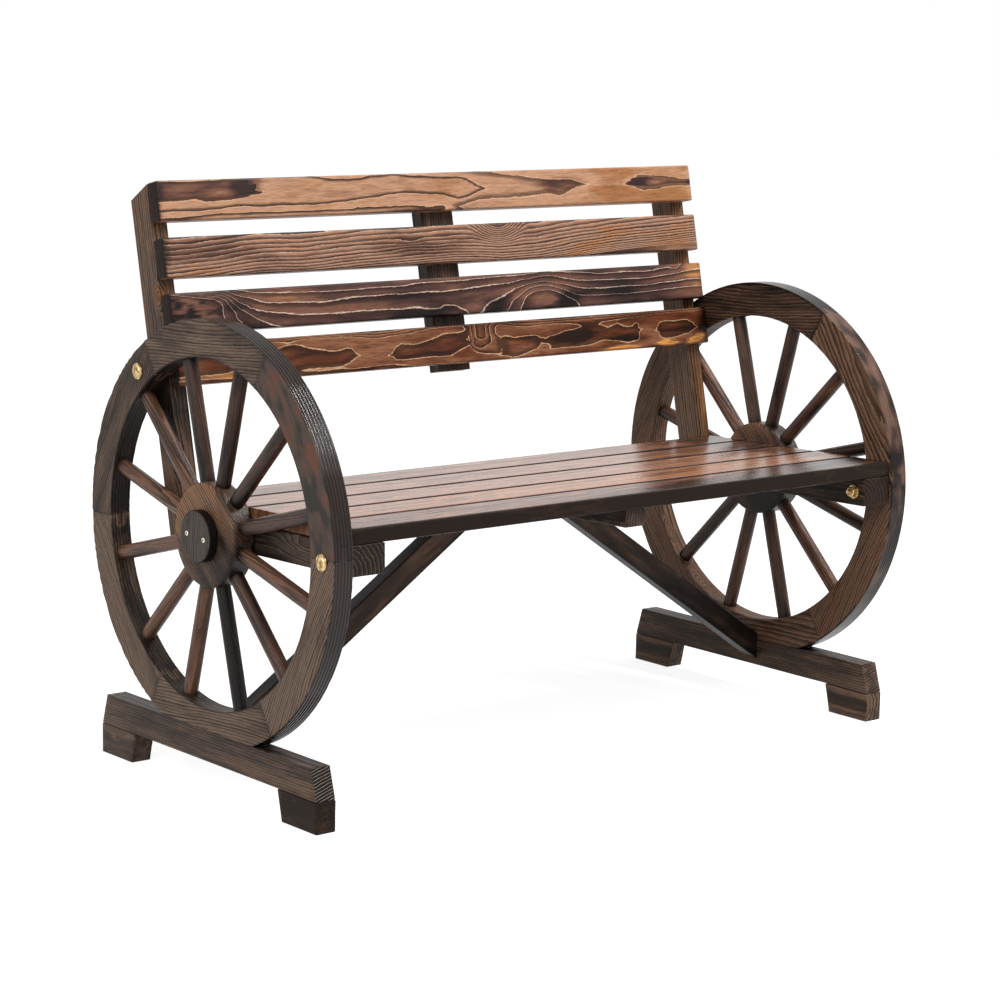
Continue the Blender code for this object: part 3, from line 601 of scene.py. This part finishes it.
def add_back_slats():
    slats = ((back_slat_1, BACK_1), (back_slat_2, BACK_2), (back_slat_3, BACK_3), (back_slat_4, BACK_4))
    for index, (grown, material) in enumerate(slats):
        node = f"back_slat_{index + 1}"
        size, place = stands(node, LEANING)
        slat = board(f"back_board_{index + 1}", size, SLAT_EDGE, SLAT_CELLS)
        at = points_mm(slat)
        rings, scorch_and_shade = grown(at)
        give_wood(slat, index + 1, rings, scorch_and_shade + scorched_rim_of(at, size), loose=0.35 if index == 1 else 0.05)
        set_down(slat, place, material, "back_wood", node, others=((CHARRED, lambda face: abs(face.normal.x) > 0.8),))


SEAT_BURN = (0.4, -0.6, -0.2, 0.0, 0.1)   # from the front; the second one is the lightest
SEAT_RIGHT = (470, 0, 260, 90)            # oval at the right end, browner than the rest
FRONT_STREAK = (120, -14, 330, 44)        # oval on the front board


def add_seat_slats():
    for index, tone in enumerate(SEAT_BURN):
        node = f"seat_slat_{index + 1}"
        size, place = stands(node, LYING)
        slat = board(f"seat_board_{index + 1}", size, SEAT_EDGE, SEAT_CELLS)
        at = points_mm(slat)
        rings = ridge(at, (-480, 0, 480), (-10 + 7 * index % 20, 4, 10 - 5 * index % 18), 16.0, 9.0)
        # The rounded long edges are strongly darkened and the sides take charred wood: partly torched edges, partly
        # painted shade in the gaps between the boards.
        scorch_and_shade = tone + scorched_rim_of(at, size, 0.3, 1.7) + 0.6 * hill(at, *SEAT_RIGHT)
        if index == 0:
            scorch_and_shade += 0.7 * hill(at, *FRONT_STREAK) + 0.5 * clouds(at, 120.0, 9.0, 9.4)
        give_wood(slat, 10 + index, rings, scorch_and_shade)
        set_down(slat, place, SEAT, "seat_wood", node, others=(
            (CHARRED, lambda face: abs(face.normal.z) < 0.8), (SEAT_END, lambda face: abs(face.normal.x) > 0.8)))


def sweep(steps, angle):
    """In edit mode, sweeps what is selected about the wheel's axle; spin counts its angle the other way."""
    bpy.ops.mesh.spin(steps=steps, angle=-angle, center=(0.0, 0.0, 0.0), axis=(1.0, 0.0, 0.0))


def felloe_blank():
    """A sixth of a rim about +Y: its section is drawn, swept along its arc, and its ends get fingers that
    mesh with the next piece."""
    half_turn = math.pi / FELLOES - FINGER / WHEEL_RADIUS / 2
    obj = start(bpy.ops.mesh.primitive_plane_add, size=1.0)
    bpy.ops.transform.resize(value=(RIM_THICKNESS, RIM_WIDTH, 1.0))
    bpy.ops.transform.translate(value=(0.0, WHEEL_RADIUS - RIM_WIDTH / 2, 0.0))
    bpy.ops.mesh.bevel(offset=RIM_EDGE, segments=3, affect="VERTICES")
    bpy.ops.mesh.select_all(action="SELECT")
    bpy.ops.mesh.delete(type="ONLY_FACE")
    for axis, across in enumerate((RIM_THICKNESS, RIM_WIDTH)):
        pick("EDGE", runs_along(axis, across / 2))
        bpy.ops.mesh.subdivide(number_cuts=RIM_CELLS[axis] - 1)
    bpy.ops.object.mode_set(mode="OBJECT")
    obj.data.transform(Matrix.Rotation(-half_turn, 4, "X"))
    edit(obj)
    bpy.ops.mesh.select_all(action="SELECT")
    sweep(RIM_CELLS[2], 2 * half_turn)
    bpy.ops.mesh.select_all(action="SELECT")
    bpy.ops.mesh.fill_holes(sides=0)
    for way, middle in ((-1.0, True), (1.0, False)):
        facing = Vector((0.0, -math.sin(half_turn * way), math.cos(half_turn * way))) * way

        def on_end(face):
            return abs(face.normal.dot(facing)) > 0.999 and len(face.verts) > 4

        for side in (-FINGER_SIDE, FINGER_SIDE):
            pick("FACE", on_end)
            bpy.ops.mesh.bisect(plane_co=(side, 0.0, 0.0), plane_no=(1.0, 0.0, 0.0), threshold=1e-5)
        pick("FACE", lambda face: on_end(face) and (abs(face.calc_center_median().x) < FINGER_SIDE) == middle)
        sweep(2, way * (FINGER - GLUE_GAP) / WHEEL_RADIUS)
    # Rows of points close to the seams, so that a thin line along them can be drawn
    for end in (-FINGER / 2, FINGER / 2):
        for way in (-1.0, 1.0):
            turn = way * (math.pi / FELLOES + (end - SEAM_LINE) / WHEEL_RADIUS)
            saw((0.0, 0.0, 0.0), (0.0, -math.sin(turn), math.cos(turn)))
    close_up()
    return obj


def copy_of(obj, name):
    twin = obj.copy()
    twin.data = obj.data.copy()
    twin.name = twin.data.name = name
    bpy.context.scene.collection.objects.link(twin)
    return twin


# From the wheel, with its axle along X and the piece at +Y, to the piece's own fibres
ALONG_CHORD = Matrix.Rotation(-math.pi / 2, 4, "Y")
# Scorching of the felloes and of the rims' inner surfaces, darkening of the right ones' treads, which on the lower
# front felloe is partly painted shade, and mm from year to year on the faces, round from the first seam; one felloe
# is sawn along a single year and shows no lines
FELLOE_BURN = {"left": (0.35, 0.25, 0.1, -0.1, 0.05, -0.1), "right": (0.0, 0.55, -0.05, -0.3, 0.0, -0.15)}
SATIN_SCORCH_AND_SHADE = (0.15, 0.3, 0.1, 0.8, 0.5, 0.3)
INNER_BURN = {"left": 0.75, "right": -0.15}
FELLOE_YEARS = {"left": (4.0, 4.3, None, 4.0, 4.6, 4.0), "right": (4.6, 5.0, 9.0, 4.2, 9.0, 5.0)}
TREAD_YEARS = 4.9
INNER_KNOT = (2, 6, 32, 9)       # mm along and across the felloe, and its size
FACE_FROM = 14.2                 # mm from the middle of the rim's thickness
TREAD_FROM, INNER_TO = 277, 233  # mm from the axle
GROOVES = {"left": 0.85, "right": 0.2}   # mm deep, round the treads


def add_rim(side, outward, centre, blank):
    """Six felloes with straight fibres, each along its own chord."""
    left = outward < 0
    for index in range(FELLOES):
        felloe = copy_of(blank, f"{side}_felloe_{index + 1}")
        middle = FIRST_SEAM + math.tau * (index + 0.5) / FELLOES
        if math.sin(middle) < -0.95:
            edit(felloe)
            down = Matrix.Rotation(-middle, 3, "X") @ Vector((0.0, 0.0, -1.0))
            saw(down * (WHEEL_RADIUS - WHEEL_FLAT), down, **OFF)
            close_up()
        felloe.data.transform(ALONG_CHORD.inverted())
        number = 20 + index + FELLOES * (not left)
        years = FELLOE_YEARS[side][index]
        at = points_mm(felloe)
        out, turn = np.hypot(at[:, 0], at[:, 1]), np.arctan2(at[:, 0], at[:, 1])
        tread, inside = np.clip((out - TREAD_FROM) / 2, 0, 1), np.clip((INNER_TO - out) / 2, 0, 1)
        on_face = np.abs(at[:, 2]) > FACE_FROM
        crossed = on_face | ((not left) & (index == 2) & (out > 250))
        rings = at[:, 2] / TREAD_YEARS
        if years:
            rings += at[:, 1] * crossed / years + 1.2 * on_face * hill(at, 40 - 17 * index, 255, 140, 40)
        else:
            rings[on_face] = 0.12
        off_seam = math.pi / FELLOES - np.abs(turn)
        longer = (np.abs(at[:, 2]) < FINGER_SIDE * 1000) == (turn < 0)
        to_seam = np.abs(off_seam + (longer - 0.5) * FINGER / WHEEL_RADIUS) * out
        scorch_and_shade = FELLOE_BURN[side][index] + 0.4 * np.exp(-to_seam / 2.0) + 0.2 * tread + INNER_BURN[side] * inside
        if left:
            # glue line of the fingers, paler than the scorched surface
            beside = np.abs(off_seam) < (FINGER + SEAM_LINE) / 2 / WHEEL_RADIUS
            finger_side = beside * np.exp(-np.abs(np.abs(at[:, 2]) - FINGER_SIDE * 1000) / 0.8)
            scorch_and_shade -= 3.4 * inside * np.maximum(np.exp(-to_seam / 0.7), finger_side)
        else:
            # The right treads: mottled scorching, and on the lower front felloe partly painted shade.
            scorch_and_shade += tread * (SATIN_SCORCH_AND_SHADE[index] + 1.3 * clouds(at, 34.0, 15.0, number + 0.6))
        if not years:
            scorch_and_shade += on_face * (2.4 * clouds(at, 40.0, 16.0, number + 0.7) + clouds(at, 16.0, 7.0, number + 0.8))
        if not left and index == 5:
            # knot and flame tips on the inner surface
            past = -40 - at[:, 0]
            tips = np.clip(past, 0, 70) / 8 - np.clip(past / 20, 0, 1) * (at[:, 2] - 3) ** 2 / 28
            rings += inside * (4.0 * hill(at[:, ::2], *INNER_KNOT) + tips - 0.5 * at[:, 2] / TREAD_YEARS)
        give_wood(felloe, number, rings, scorch_and_shade, 0.3 * (1 - tread), 0.06 + 0.39 * crossed * bool(years),
                  GROOVES[side] * tread)
        replaced = (f"{side}_rim",) if index == 0 else ()
        wood = (RIM if left else RIM_WARM) if years else RIM_SMOKY
        place = centre @ Matrix.Rotation(middle, 4, "X") @ ALONG_CHORD
        set_down(felloe, place, wood, "rim_wood", *replaced, others=(
            (TREAD if left else TREAD_SATIN,
             lambda face: abs(face.normal.z) < 0.6 and face.center.xy.length > WHEEL_RADIUS - 0.004),))


# Scorching of the spokes, round from the rear; some are nearly black
SPOKE_BURN = {"left": (0.0, 0.25, 0.5, 0.75, 0.7, 0.55, 0.1, 0.35, 1.3, -0.05, 0.05, 0.15),
              "right": (0.3, 0.1, 0.4, 0.65, 0.6, 0.6, 0.5, 0.05, 0.4, 0.3, 0.4, 0.3)}
SPOKE_YEARS = (3.6, 6.0)   # mm from ring to ring across and in depth
SOCKET = 80.5              # mm from a spoke's middle to where it enters rim and hub


def spoke_blank():
    """A dowel along X, a little fuller in the middle, with eased ends."""
    bpy.ops.object.select_all(action="DESELECT")
    bpy.ops.mesh.primitive_cylinder_add(vertices=32, radius=SPOKE_RADIUS, depth=SPOKE_LENGTH)
    obj = bpy.context.active_object
    obj.data.transform(Matrix.Rotation(math.pi / 2, 4, "Y"))
    bpy.ops.object.mode_set(mode="EDIT")
    pick("EDGE", lambda edge: abs(edge.verts[0].co.x - edge.verts[1].co.x) < MERGE)
    bpy.ops.mesh.bevel(offset=0.001, segments=2, affect="EDGES")
    pick("EDGE", runs_along(0, SPOKE_LENGTH / 2))
    bpy.ops.mesh.subdivide(number_cuts=36)
    for reach, fuller in ((0.45, 1.008), (0.36, 1.008), (0.25, 1.006)):
        pick("VERT", lambda vert: abs(vert.co.x) < reach * SPOKE_LENGTH)
        bpy.ops.transform.resize(value=(1.0, fuller, fuller), center_override=(0.0, 0.0, 0.0))
    close_up()
    return obj


def add_spokes(side, outward, centre, blank):
    for index, tone in enumerate(SPOKE_BURN[side]):
        spoke = copy_of(blank, f"{side}_dowel_{index + 1:02d}")
        at = points_mm(spoke)
        rings = at[:, 1] / SPOKE_YEARS[0] + at[:, 2] / SPOKE_YEARS[1] + 0.01 * at[:, 0]
        to_socket = np.abs(np.abs(at[:, 0]) - SOCKET)
        number = 40 + index + SPOKES * (outward > 0)
        # Darker towards both ends, where the spoke enters rim and hub: painted shade of the sockets.
        give_wood(spoke, number, rings, tone + 0.6 * np.exp(-to_socket / 4.0), relief=0.15)
        turn = math.tau * (index + 0.5) / SPOKES
        place = centre @ Matrix.Rotation(turn, 4, "X") @ Matrix.Translation((0.0, SPOKE_MIDDLE, 0.0))
        place = place @ Matrix.Rotation(math.pi / 2, 4, "Z") @ Matrix.Rotation(0.9 * index, 4, "X")
        set_down(spoke, place, SPOKE, "spoke_wood", f"{side}_spoke_{index + 1:02d}")


def turned_disc(name, radius, height, edge, rings):
    """A disc turned on the lathe, face up, with rounded edges; its faces are divided into rings."""
    obj = start(bpy.ops.mesh.primitive_cylinder_add, vertices=96, radius=radius, depth=height)
    obj.name = obj.data.name = name
    pick("EDGE", lambda line: abs(line.verts[0].co.z - line.verts[1].co.z) < MERGE)
    bpy.ops.mesh.bevel(offset=edge, segments=3, affect="EDGES")
    for _ in range(rings):
        pick("FACE", lambda face: len(face.verts) > 4)
        bpy.ops.mesh.inset(thickness=(radius - edge) / (rings + 1))
    pick("EDGE", runs_along(2, height / 2))
    bpy.ops.mesh.subdivide(number_cuts=8)
    close_up()
    return obj


def screw_blank():
    """Small screw head, face up, with a rounded edge and a cross recess."""
    obj = start(bpy.ops.mesh.primitive_cylinder_add, vertices=32, radius=SCREW_RADIUS, depth=SCREW_HEIGHT)
    pick("EDGE", lambda edge: all(v.co.z > 0 for v in edge.verts))
    bpy.ops.mesh.bevel(offset=SCREW_EDGE, segments=3, affect="EDGES")
    bpy.ops.object.mode_set(mode="OBJECT")
    for turn in (0.0, math.pi / 2):
        bpy.ops.mesh.primitive_cube_add(size=1.0)
        slot = bpy.context.active_object
        slot.data.transform(Matrix.Translation((0.0, 0.0, SCREW_HEIGHT / 2)) @ Matrix.Rotation(turn, 4, "Z")
                            @ Matrix.Diagonal((*RECESS, 1.0)))
        bpy.context.view_layer.objects.active = obj
        cut = obj.modifiers.new("recess", "BOOLEAN")
        cut.object = slot
        cut.solver = "EXACT"
        bpy.ops.object.modifier_apply(modifier=cut.name)
        bpy.data.objects.remove(slot, do_unlink=True)
    edit(obj)
    close_up()
    return obj


def add_hub(side, outward, screw):
    low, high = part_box(f"{side}_hub")
    face_out = Matrix.Rotation(outward * math.pi / 2, 4, "Y")
    hub = turned_disc(f"{side}_nave", HUB_RADIUS, high.x - low.x, 0.004, 8)
    turn = face_out @ Matrix.Rotation(math.radians(-48.0 * outward), 4, "Z")
    at = points_mm(hub)
    rings = at[:, 1] / 4.4 + at[:, 2] / 9.0 + 0.8 * hill(at, -10, 15, 60, 25)
    # darker below, towards the front, on the right hub and on the barrel
    up, ahead = at @ np.array(turn.to_3x3().row[2]), -at @ np.array(turn.to_3x3().row[1])
    scorch_and_shade = 0.5 * np.clip(-up / 45 + 0.1, -0.6, 1) + 0.15 * (np.hypot(at[:, 0], at[:, 1]) > HUB_RADIUS * 1000 - 1)
    scorch_and_shade += 0.35 * (outward > 0) + 0.55 * np.clip((ahead + 8) / 45, 0, 1)
    give_wood(hub, 70 + outward, rings, scorch_and_shade, relief=0.3)
    place = Matrix.Translation((low + high) / 2) @ turn
    set_down(hub, place, HUB, "hub_wood", f"{side}_hub", others=((HUB_SIDE, lambda face: abs(face.normal.z) < 0.6),))

    low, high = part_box(f"{side}_hub_cap")
    cap = turned_disc(f"{side}_cap", CAP_RADIUS, high.x - low.x, 0.0014, 5)
    at = points_mm(cap)
    scorch_and_shade = 1.2 * (np.hypot(at[:, 0], at[:, 1]) > CAP_RADIUS * 1000 - 1.2)
    give_wood(cap, 74 + outward, at[:, 1] / 4.0 + at[:, 2] / 5.0, scorch_and_shade, relief=0.12)
    middle = Matrix.Translation((low + high) / 2)
    set_down(cap, middle @ face_out @ Matrix.Rotation(math.radians(-4.0), 4, "Z"), CAP, "cap_wood",
             f"{side}_hub_cap")
    for index, (y, z) in enumerate(CAP_SCREWS):
        head = copy_of(screw, f"{side}_cap_screw_{index + 1}")
        spot = Matrix.Translation((outward * (high.x - low.x) / 2, y, z))
        sunk = Matrix.Translation((0.0, 0.0, -SCREW_SUNK)) @ Matrix.Rotation(0.6 + 1.3 * index, 4, "Z")
        # The faces inside the cross recess take the dark cap wood: painted shade in the recess.
        set_down(head, middle @ spot @ face_out @ sunk, NICKEL, "yellow_zinc", others=(
            (CAP, lambda face: face.center.xy.length < 0.0020 and face.center.z < 0.0006),))


def add_wheels():
    felloe, screw, spoke = felloe_blank(), screw_blank(), spoke_blank()
    for side, outward in SIDES:
        low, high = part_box(f"{side}_rim")
        centre = Matrix.Translation((outward * (abs(low.x) + abs(high.x)) / 2, 0.0, high.z - WHEEL_RADIUS))
        add_rim(side, outward, centre, felloe)
        add_spokes(side, outward, centre, spoke)
        add_hub(side, outward, screw)
    for blank in (felloe, screw, spoke):
        bpy.data.objects.remove(blank, do_unlink=True)


ALONG_DEPTH = Matrix(((0, 0, 1, 0), (1, 0, 0, 0), (0, 1, 0, 0), (0, 0, 0, 1)))   # beams and feet
ALONG_RAIL = LYING @ Matrix.Rotation(math.pi / 2, 4, "Z")
UP_THE_POST = Matrix.Rotation(-BACK_LEAN, 4, "X") @ Matrix(((0, -1, 0, 0), (0, 0, -1, 0), (1, 0, 0, 0), (0, 0, 0, 1)))


def frame_board(name, node, turn, number, tone, planes=(), years=(5.0, 40.0), heart=None, front=0.0, ends=None,
                knots=(), edges=0.15, material=FRAME, dark_band=None):
    """A board of the frame where its solid stands; planes are world planes that saw off its ends. Years are mm
    from ring to ring across its width and its depth, or round a heart at a place outside it. Front is more
    scorching on its front face, edges along its long edges, and ends the material of its end grain. A knot is its
    place along the board and in depth, its half sizes there and its change of scorching; a dark band is a place
    along the board, how far it reaches and how much darker it makes the board there."""
    size, place = stands(node, turn)
    to_board = place.inverted()
    cuts = [(to_board @ point, to_board.to_3x3() @ normal) for point, normal in planes]
    obj = board(name, size, FRAME_EDGE, FRAME_CELLS, cuts)
    at = points_mm(obj)
    if heart:
        rings = np.hypot(at[:, 1] - heart[0], at[:, 2] - heart[1]) / years[0]
    else:
        rings = at[:, 1] / years[0] + at[:, 2] / years[1] + (at[:, 1] / 90) ** 2 + (at[:, 2] / 60) ** 2
    scorch_and_shade = tone + front * (at[:, 2] > size.z * 500 - 1.5) + scorched_rim_of(at, size, 0.0, edges)
    for along, depth, half_length, half_depth, change in knots:
        branch = hill(at[:, ::2], along, depth, half_length, half_depth) * (at[:, 1] > 0)
        rings, scorch_and_shade = rings + 4.0 * branch, scorch_and_shade + change * branch
    if dark_band:
        scorch_and_shade += dark_band[2] * np.clip(1 - np.abs(at[:, 0] - dark_band[0]) / dark_band[1], 0, 1)
    give_wood(obj, number, rings, scorch_and_shade, relief=0.25, loose=0.3)
    others = ((ends, lambda face: abs(face.normal.x) > 0.75),) if ends else ()
    set_down(obj, place, material, "frame_wood", node, others=others)


def add_bases():
    for side, outward in SIDES:
        left = outward < 0
        low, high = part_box(f"{side}_base_beam")
        planes = [(Vector((0.0, y, low.z)), Vector((0.0, way * (high.z - low.z), BEAM_END_SLANT)))
                  for y, way in ((low.y, -1.0), (high.y, 1.0))]
        frame_board(f"{side}_beam", f"{side}_base_beam", ALONG_DEPTH, 80 + outward, 0.25 + 0.01 * outward, planes,
                    (3.9, -14.0), ends=BEAM_END if left else None)
        for end, way in (("front", 1.0), ("back", -1.0)):
            low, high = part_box(f"{side}_{end}_foot")
            inner = low.y + FOOT_LENGTH if way > 0 else high.y - FOOT_LENGTH
            slant = Vector((0.0, way * (high.z - low.z), FOOT_LENGTH - (high.y - low.y)))
            # The left feet are darker and the front one takes charred wood all over: partly scorching, partly painted
            # shade on low faces that face the front.
            frame_board(f"{side}_{end}_block", f"{side}_{end}_foot", ALONG_DEPTH, 84 + outward + 2 * way,
                        (0.6 + 0.12 * way) * left, [(Vector((0.0, inner, low.z)), slant)],
                        (90.0 if left else 7.0, 0.0), (4.0, -34.0), material=CHARRED if left and way > 0 else FRAME)


def add_braces():
    for side, outward in SIDES:
        low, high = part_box(f"{side}_brace")
        slope = math.atan2(high.z - BRACE_TIP - low.z, high.x - low.x)
        c, s = math.cos(slope), math.sin(slope)
        along, across = Vector((outward * c, 0.0, -s)), Vector((outward * s, 0.0, c))
        turn = Matrix((along, across, along.cross(across))).transposed().to_4x4()
        foot, tip = (low.x, high.x) if outward < 0 else (high.x, low.x)
        planes = [(Vector((foot, 0.0, 0.0)), Vector((outward, 0.0, 0.0))),
                  (Vector((tip, 0.0, 0.0)), Vector((-outward, 0.0, 0.0))),
                  (Vector((0.0, 0.0, high.z)), Vector((0.0, 0.0, 1.0)))]
        frame_board(f"{side}_strut", f"{side}_brace", turn, 90 + outward, 0.35 + 0.13 * outward, planes,
                    (300.0, 300.0), edges=0.4, dark_band=(300.0, 300.0, 0.45))


def add_uprights_and_rails():
    behind = Matrix.Rotation(-BACK_LEAN, 3, "X") @ Vector((0.0, 1.0, 0.0))
    for side, outward in SIDES:
        left = outward < 0
        size, place = stands(f"{side}_back_post", UP_THE_POST)
        top_front = place @ Vector((size.x / 2, 0.0, size.z / 2))
        slope = place.to_3x3() @ Vector((size.z, 0.0, -POST_TOP_DROP))
        top = size.x * 500
        # On the left post, the dark band just below the fourth back board is painted shadow of that board.
        frame_board(f"{side}_post", f"{side}_back_post", UP_THE_POST, 94 + outward, -0.3 - 0.15 * outward,
                    [(top_front, slope)], (6.0, 5.0), front=-0.3,
                    knots=((top - 150, 15, 30, 13, -1.7), (top - 350, 2, 75, 26, 0.2)) if left else (),
                    dark_band=(top - 305, 75, 1.2) if left else None)
        post_face = place @ Vector((0.0, 0.0, size.z / 2 + POST_GAP))
        frame_board(f"{side}_rail", f"{side}_seat_rail", ALONG_RAIL, 98 + outward, 0.4, [(post_face, behind)],
                    (6.5, 0.0), (38.0, -16.0), ends=END_GRAIN if left else CHARRED,
                    knots=((-95, 6, 80, 26, 0.0),) if left else ())
    frame_board("middle_rail", "centre_seat_rail", ALONG_RAIL, 101, 0.4)
    frame_board("middle_post", "centre_back_post", UP_THE_POST, 103, 0.3)


# Bolts: the head is cut off a ball, widened and set on its washer
BALL, BALL_CUT = 0.0086, 0.0030
DOME_WIDER, DOME_FOOT = 1.06, 0.0012
NUT_FROM_TAIL, NUT_HEIGHT = 0.004, 0.0065


def turned_part(top, bottom, radius, sides, edge):
    """A short cylinder between two heights, its outer edges rounded."""
    obj = start(bpy.ops.mesh.primitive_cylinder_add, vertices=sides, radius=radius, depth=top - bottom)
    bpy.ops.transform.translate(value=(0.0, 0.0, (top + bottom) / 2))
    pick("EDGE", lambda line: abs(line.verts[0].co.z - line.verts[1].co.z) < MERGE)
    bpy.ops.mesh.bevel(offset=edge, segments=2, affect="EDGES")
    close_up()
    return obj


def add_bolts():
    for side, outward in SIDES:
        for end in ("front", "rear"):
            node = f"{side}_{end}_bolt"
            low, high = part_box(node)
            tail = HEAD_HEIGHT - (high.x - low.x)
            nut = tail + NUT_FROM_TAIL
            dome = start(bpy.ops.mesh.primitive_uv_sphere_add, segments=40, ring_count=20, radius=BALL)
            saw((0.0, 0.0, BALL_CUT), (0.0, 0.0, -1.0), **OFF)
            bpy.ops.mesh.select_all(action="SELECT")
            bpy.ops.transform.translate(value=(0.0, 0.0, -BALL_CUT))
            rise = (HEAD_HEIGHT - DOME_FOOT) / (BALL - BALL_CUT)
            bpy.ops.transform.resize(value=(DOME_WIDER, DOME_WIDER, rise), center_override=(0.0, 0.0, 0.0))
            bpy.ops.transform.translate(value=(0.0, 0.0, DOME_FOOT))
            close_up()
            # washer, shank, nut and the nut's washer
            parts = [dome, turned_part(0.0014, 0.0003, 0.011, 48, 0.0004),
                     turned_part(0.0008, tail, 0.004, 24, 0.0006),
                     turned_part(nut + NUT_HEIGHT, nut, 0.0075, 6, 0.0007),
                     turned_part(nut + NUT_HEIGHT + 0.0016, nut + NUT_HEIGHT, 0.010, 40, 0.0003)]
            bpy.ops.object.select_all(action="DESELECT")
            for part in parts:
                part.select_set(True)
            bpy.context.view_layer.objects.active = dome
            bpy.ops.object.join()
            dome.name = dome.data.name = f"{side}_{end}_coach_bolt"
            face = high.x - HEAD_HEIGHT if outward > 0 else low.x + HEAD_HEIGHT
            where = Matrix.Translation((face, (low.y + high.y) / 2, (low.z + high.z) / 2))
            set_down(dome, where @ Matrix.Rotation(outward * math.pi / 2, 4, "Y"), ZINC, "yellow_zinc", node)


WHITE = (1.0, 1.0, 1.0, 1.0)
# Soft lamps: place, width, height, roll in degrees and watts; the strip gives the treads their streak of light
LAMPS = (("key_softbox", (-0.4, -2.6, 3.2), 1.8, 1.8, 0.0, 60.0),
         ("side_strip", (1.58, -1.25, 3.2), 0.12, 2.2, 134.8, 84.0),
         ("fill_softbox", (-5.0, -1.2, 2.9), 2.6, 2.6, 0.0, 120.0))
LAMPS_AIM = Vector((0.0, 0.0, 0.4))


def seen_directly(tree):
    """1 for the camera's rays, also after a reflection or through glass, and 0 for the light on other things."""
    seen = add(tree, "LightPath", out="Is Camera Ray")
    for ray in ("Is Glossy Ray", "Is Transmission Ray"):
        seen = add(tree, "Math", {0: seen, 1: add(tree, "LightPath", out=ray)}, operation="MAXIMUM")
    return seen


def add_stage():
    """White studio: a floor that reads white but keeps a soft shadow, white all round, and soft lamps."""
    bpy.ops.object.select_all(action="DESELECT")
    bpy.ops.mesh.primitive_plane_add(size=24.0)
    floor = bpy.context.active_object
    floor.name = "studio_floor"
    paper, tree = new_material("white_paper")
    matt = add(tree, "BsdfDiffuse", {"Color": colour("#bcbcbc")})
    faint = add(tree, "BsdfDiffuse", {"Color": colour("#b0b0b0")})
    glow = add(tree, "Emission", {"Color": WHITE, "Strength": 0.84})
    seen = add(tree, "AddShader", {0: faint, 1: glow})
    both = add(tree, "MixShader", {0: seen_directly(tree), 1: matt, 2: seen})
    add(tree, "OutputMaterial", {"Surface": both})
    floor.data.materials.append(paper)

    world = bpy.data.worlds.new("white_studio")
    world.use_nodes = True
    bpy.context.scene.world = world
    tree = world.node_tree
    tree.nodes.clear()
    level = add(tree, "MapRange", {"Value": seen_directly(tree), "To Min": 0.40, "To Max": 1.0})
    add(tree, "OutputWorld", {"Surface": add(tree, "Background", {"Color": WHITE, "Strength": level})})

    for name, place, width, height, roll, power in LAMPS:
        lamp = bpy.data.lights.new(name, "AREA")
        lamp.shape = "RECTANGLE"
        lamp.size, lamp.size_y = width, height
        lamp.energy = power
        holder = bpy.data.objects.new(name, lamp)
        aim = (LAMPS_AIM - Vector(place)).to_track_quat("-Z", "Y").to_matrix().to_4x4()
        holder.matrix_world = Matrix.Translation(place) @ aim @ Matrix.Rotation(math.radians(roll), 4, "Z")
        bpy.context.scene.collection.objects.link(holder)


# Camera at the photograph's place and angle, in metres and radians
CAMERA_PLACE = (-2.539832, -3.04872, 1.028403)
YAW, PITCH, ROLL = 0.6911, -0.1717, 0.0182
LENS = 103.17              # mm, on a sensor 36 mm wide


def add_camera():
    ahead = Vector((math.sin(YAW) * math.cos(PITCH), math.cos(YAW) * math.cos(PITCH), math.sin(PITCH)))
    right = Vector((math.cos(YAW), -math.sin(YAW), 0.0))
    up = right.cross(ahead)
    right, up = (math.cos(ROLL) * right + math.sin(ROLL) * up, math.cos(ROLL) * up - math.sin(ROLL) * right)
    lens = bpy.data.cameras.new("camera")
    lens.sensor_width = 36.0
    lens.sensor_fit = "HORIZONTAL"
    lens.lens = LENS
    holder = bpy.data.objects.new("camera", lens)
    turn = Matrix((right, up, -ahead)).transposed().to_4x4()
    holder.matrix_world = Matrix.Translation(CAMERA_PLACE) @ turn
    bpy.context.scene.collection.objects.link(holder)
    bpy.context.scene.camera = holder


add_camera()
add_stage()
add_back_slats()
add_seat_slats()
add_wheels()
add_bases()
add_braces()
add_uprights_and_rails()
add_bolts()

bpy.context.scene.view_settings.view_transform = "Standard"
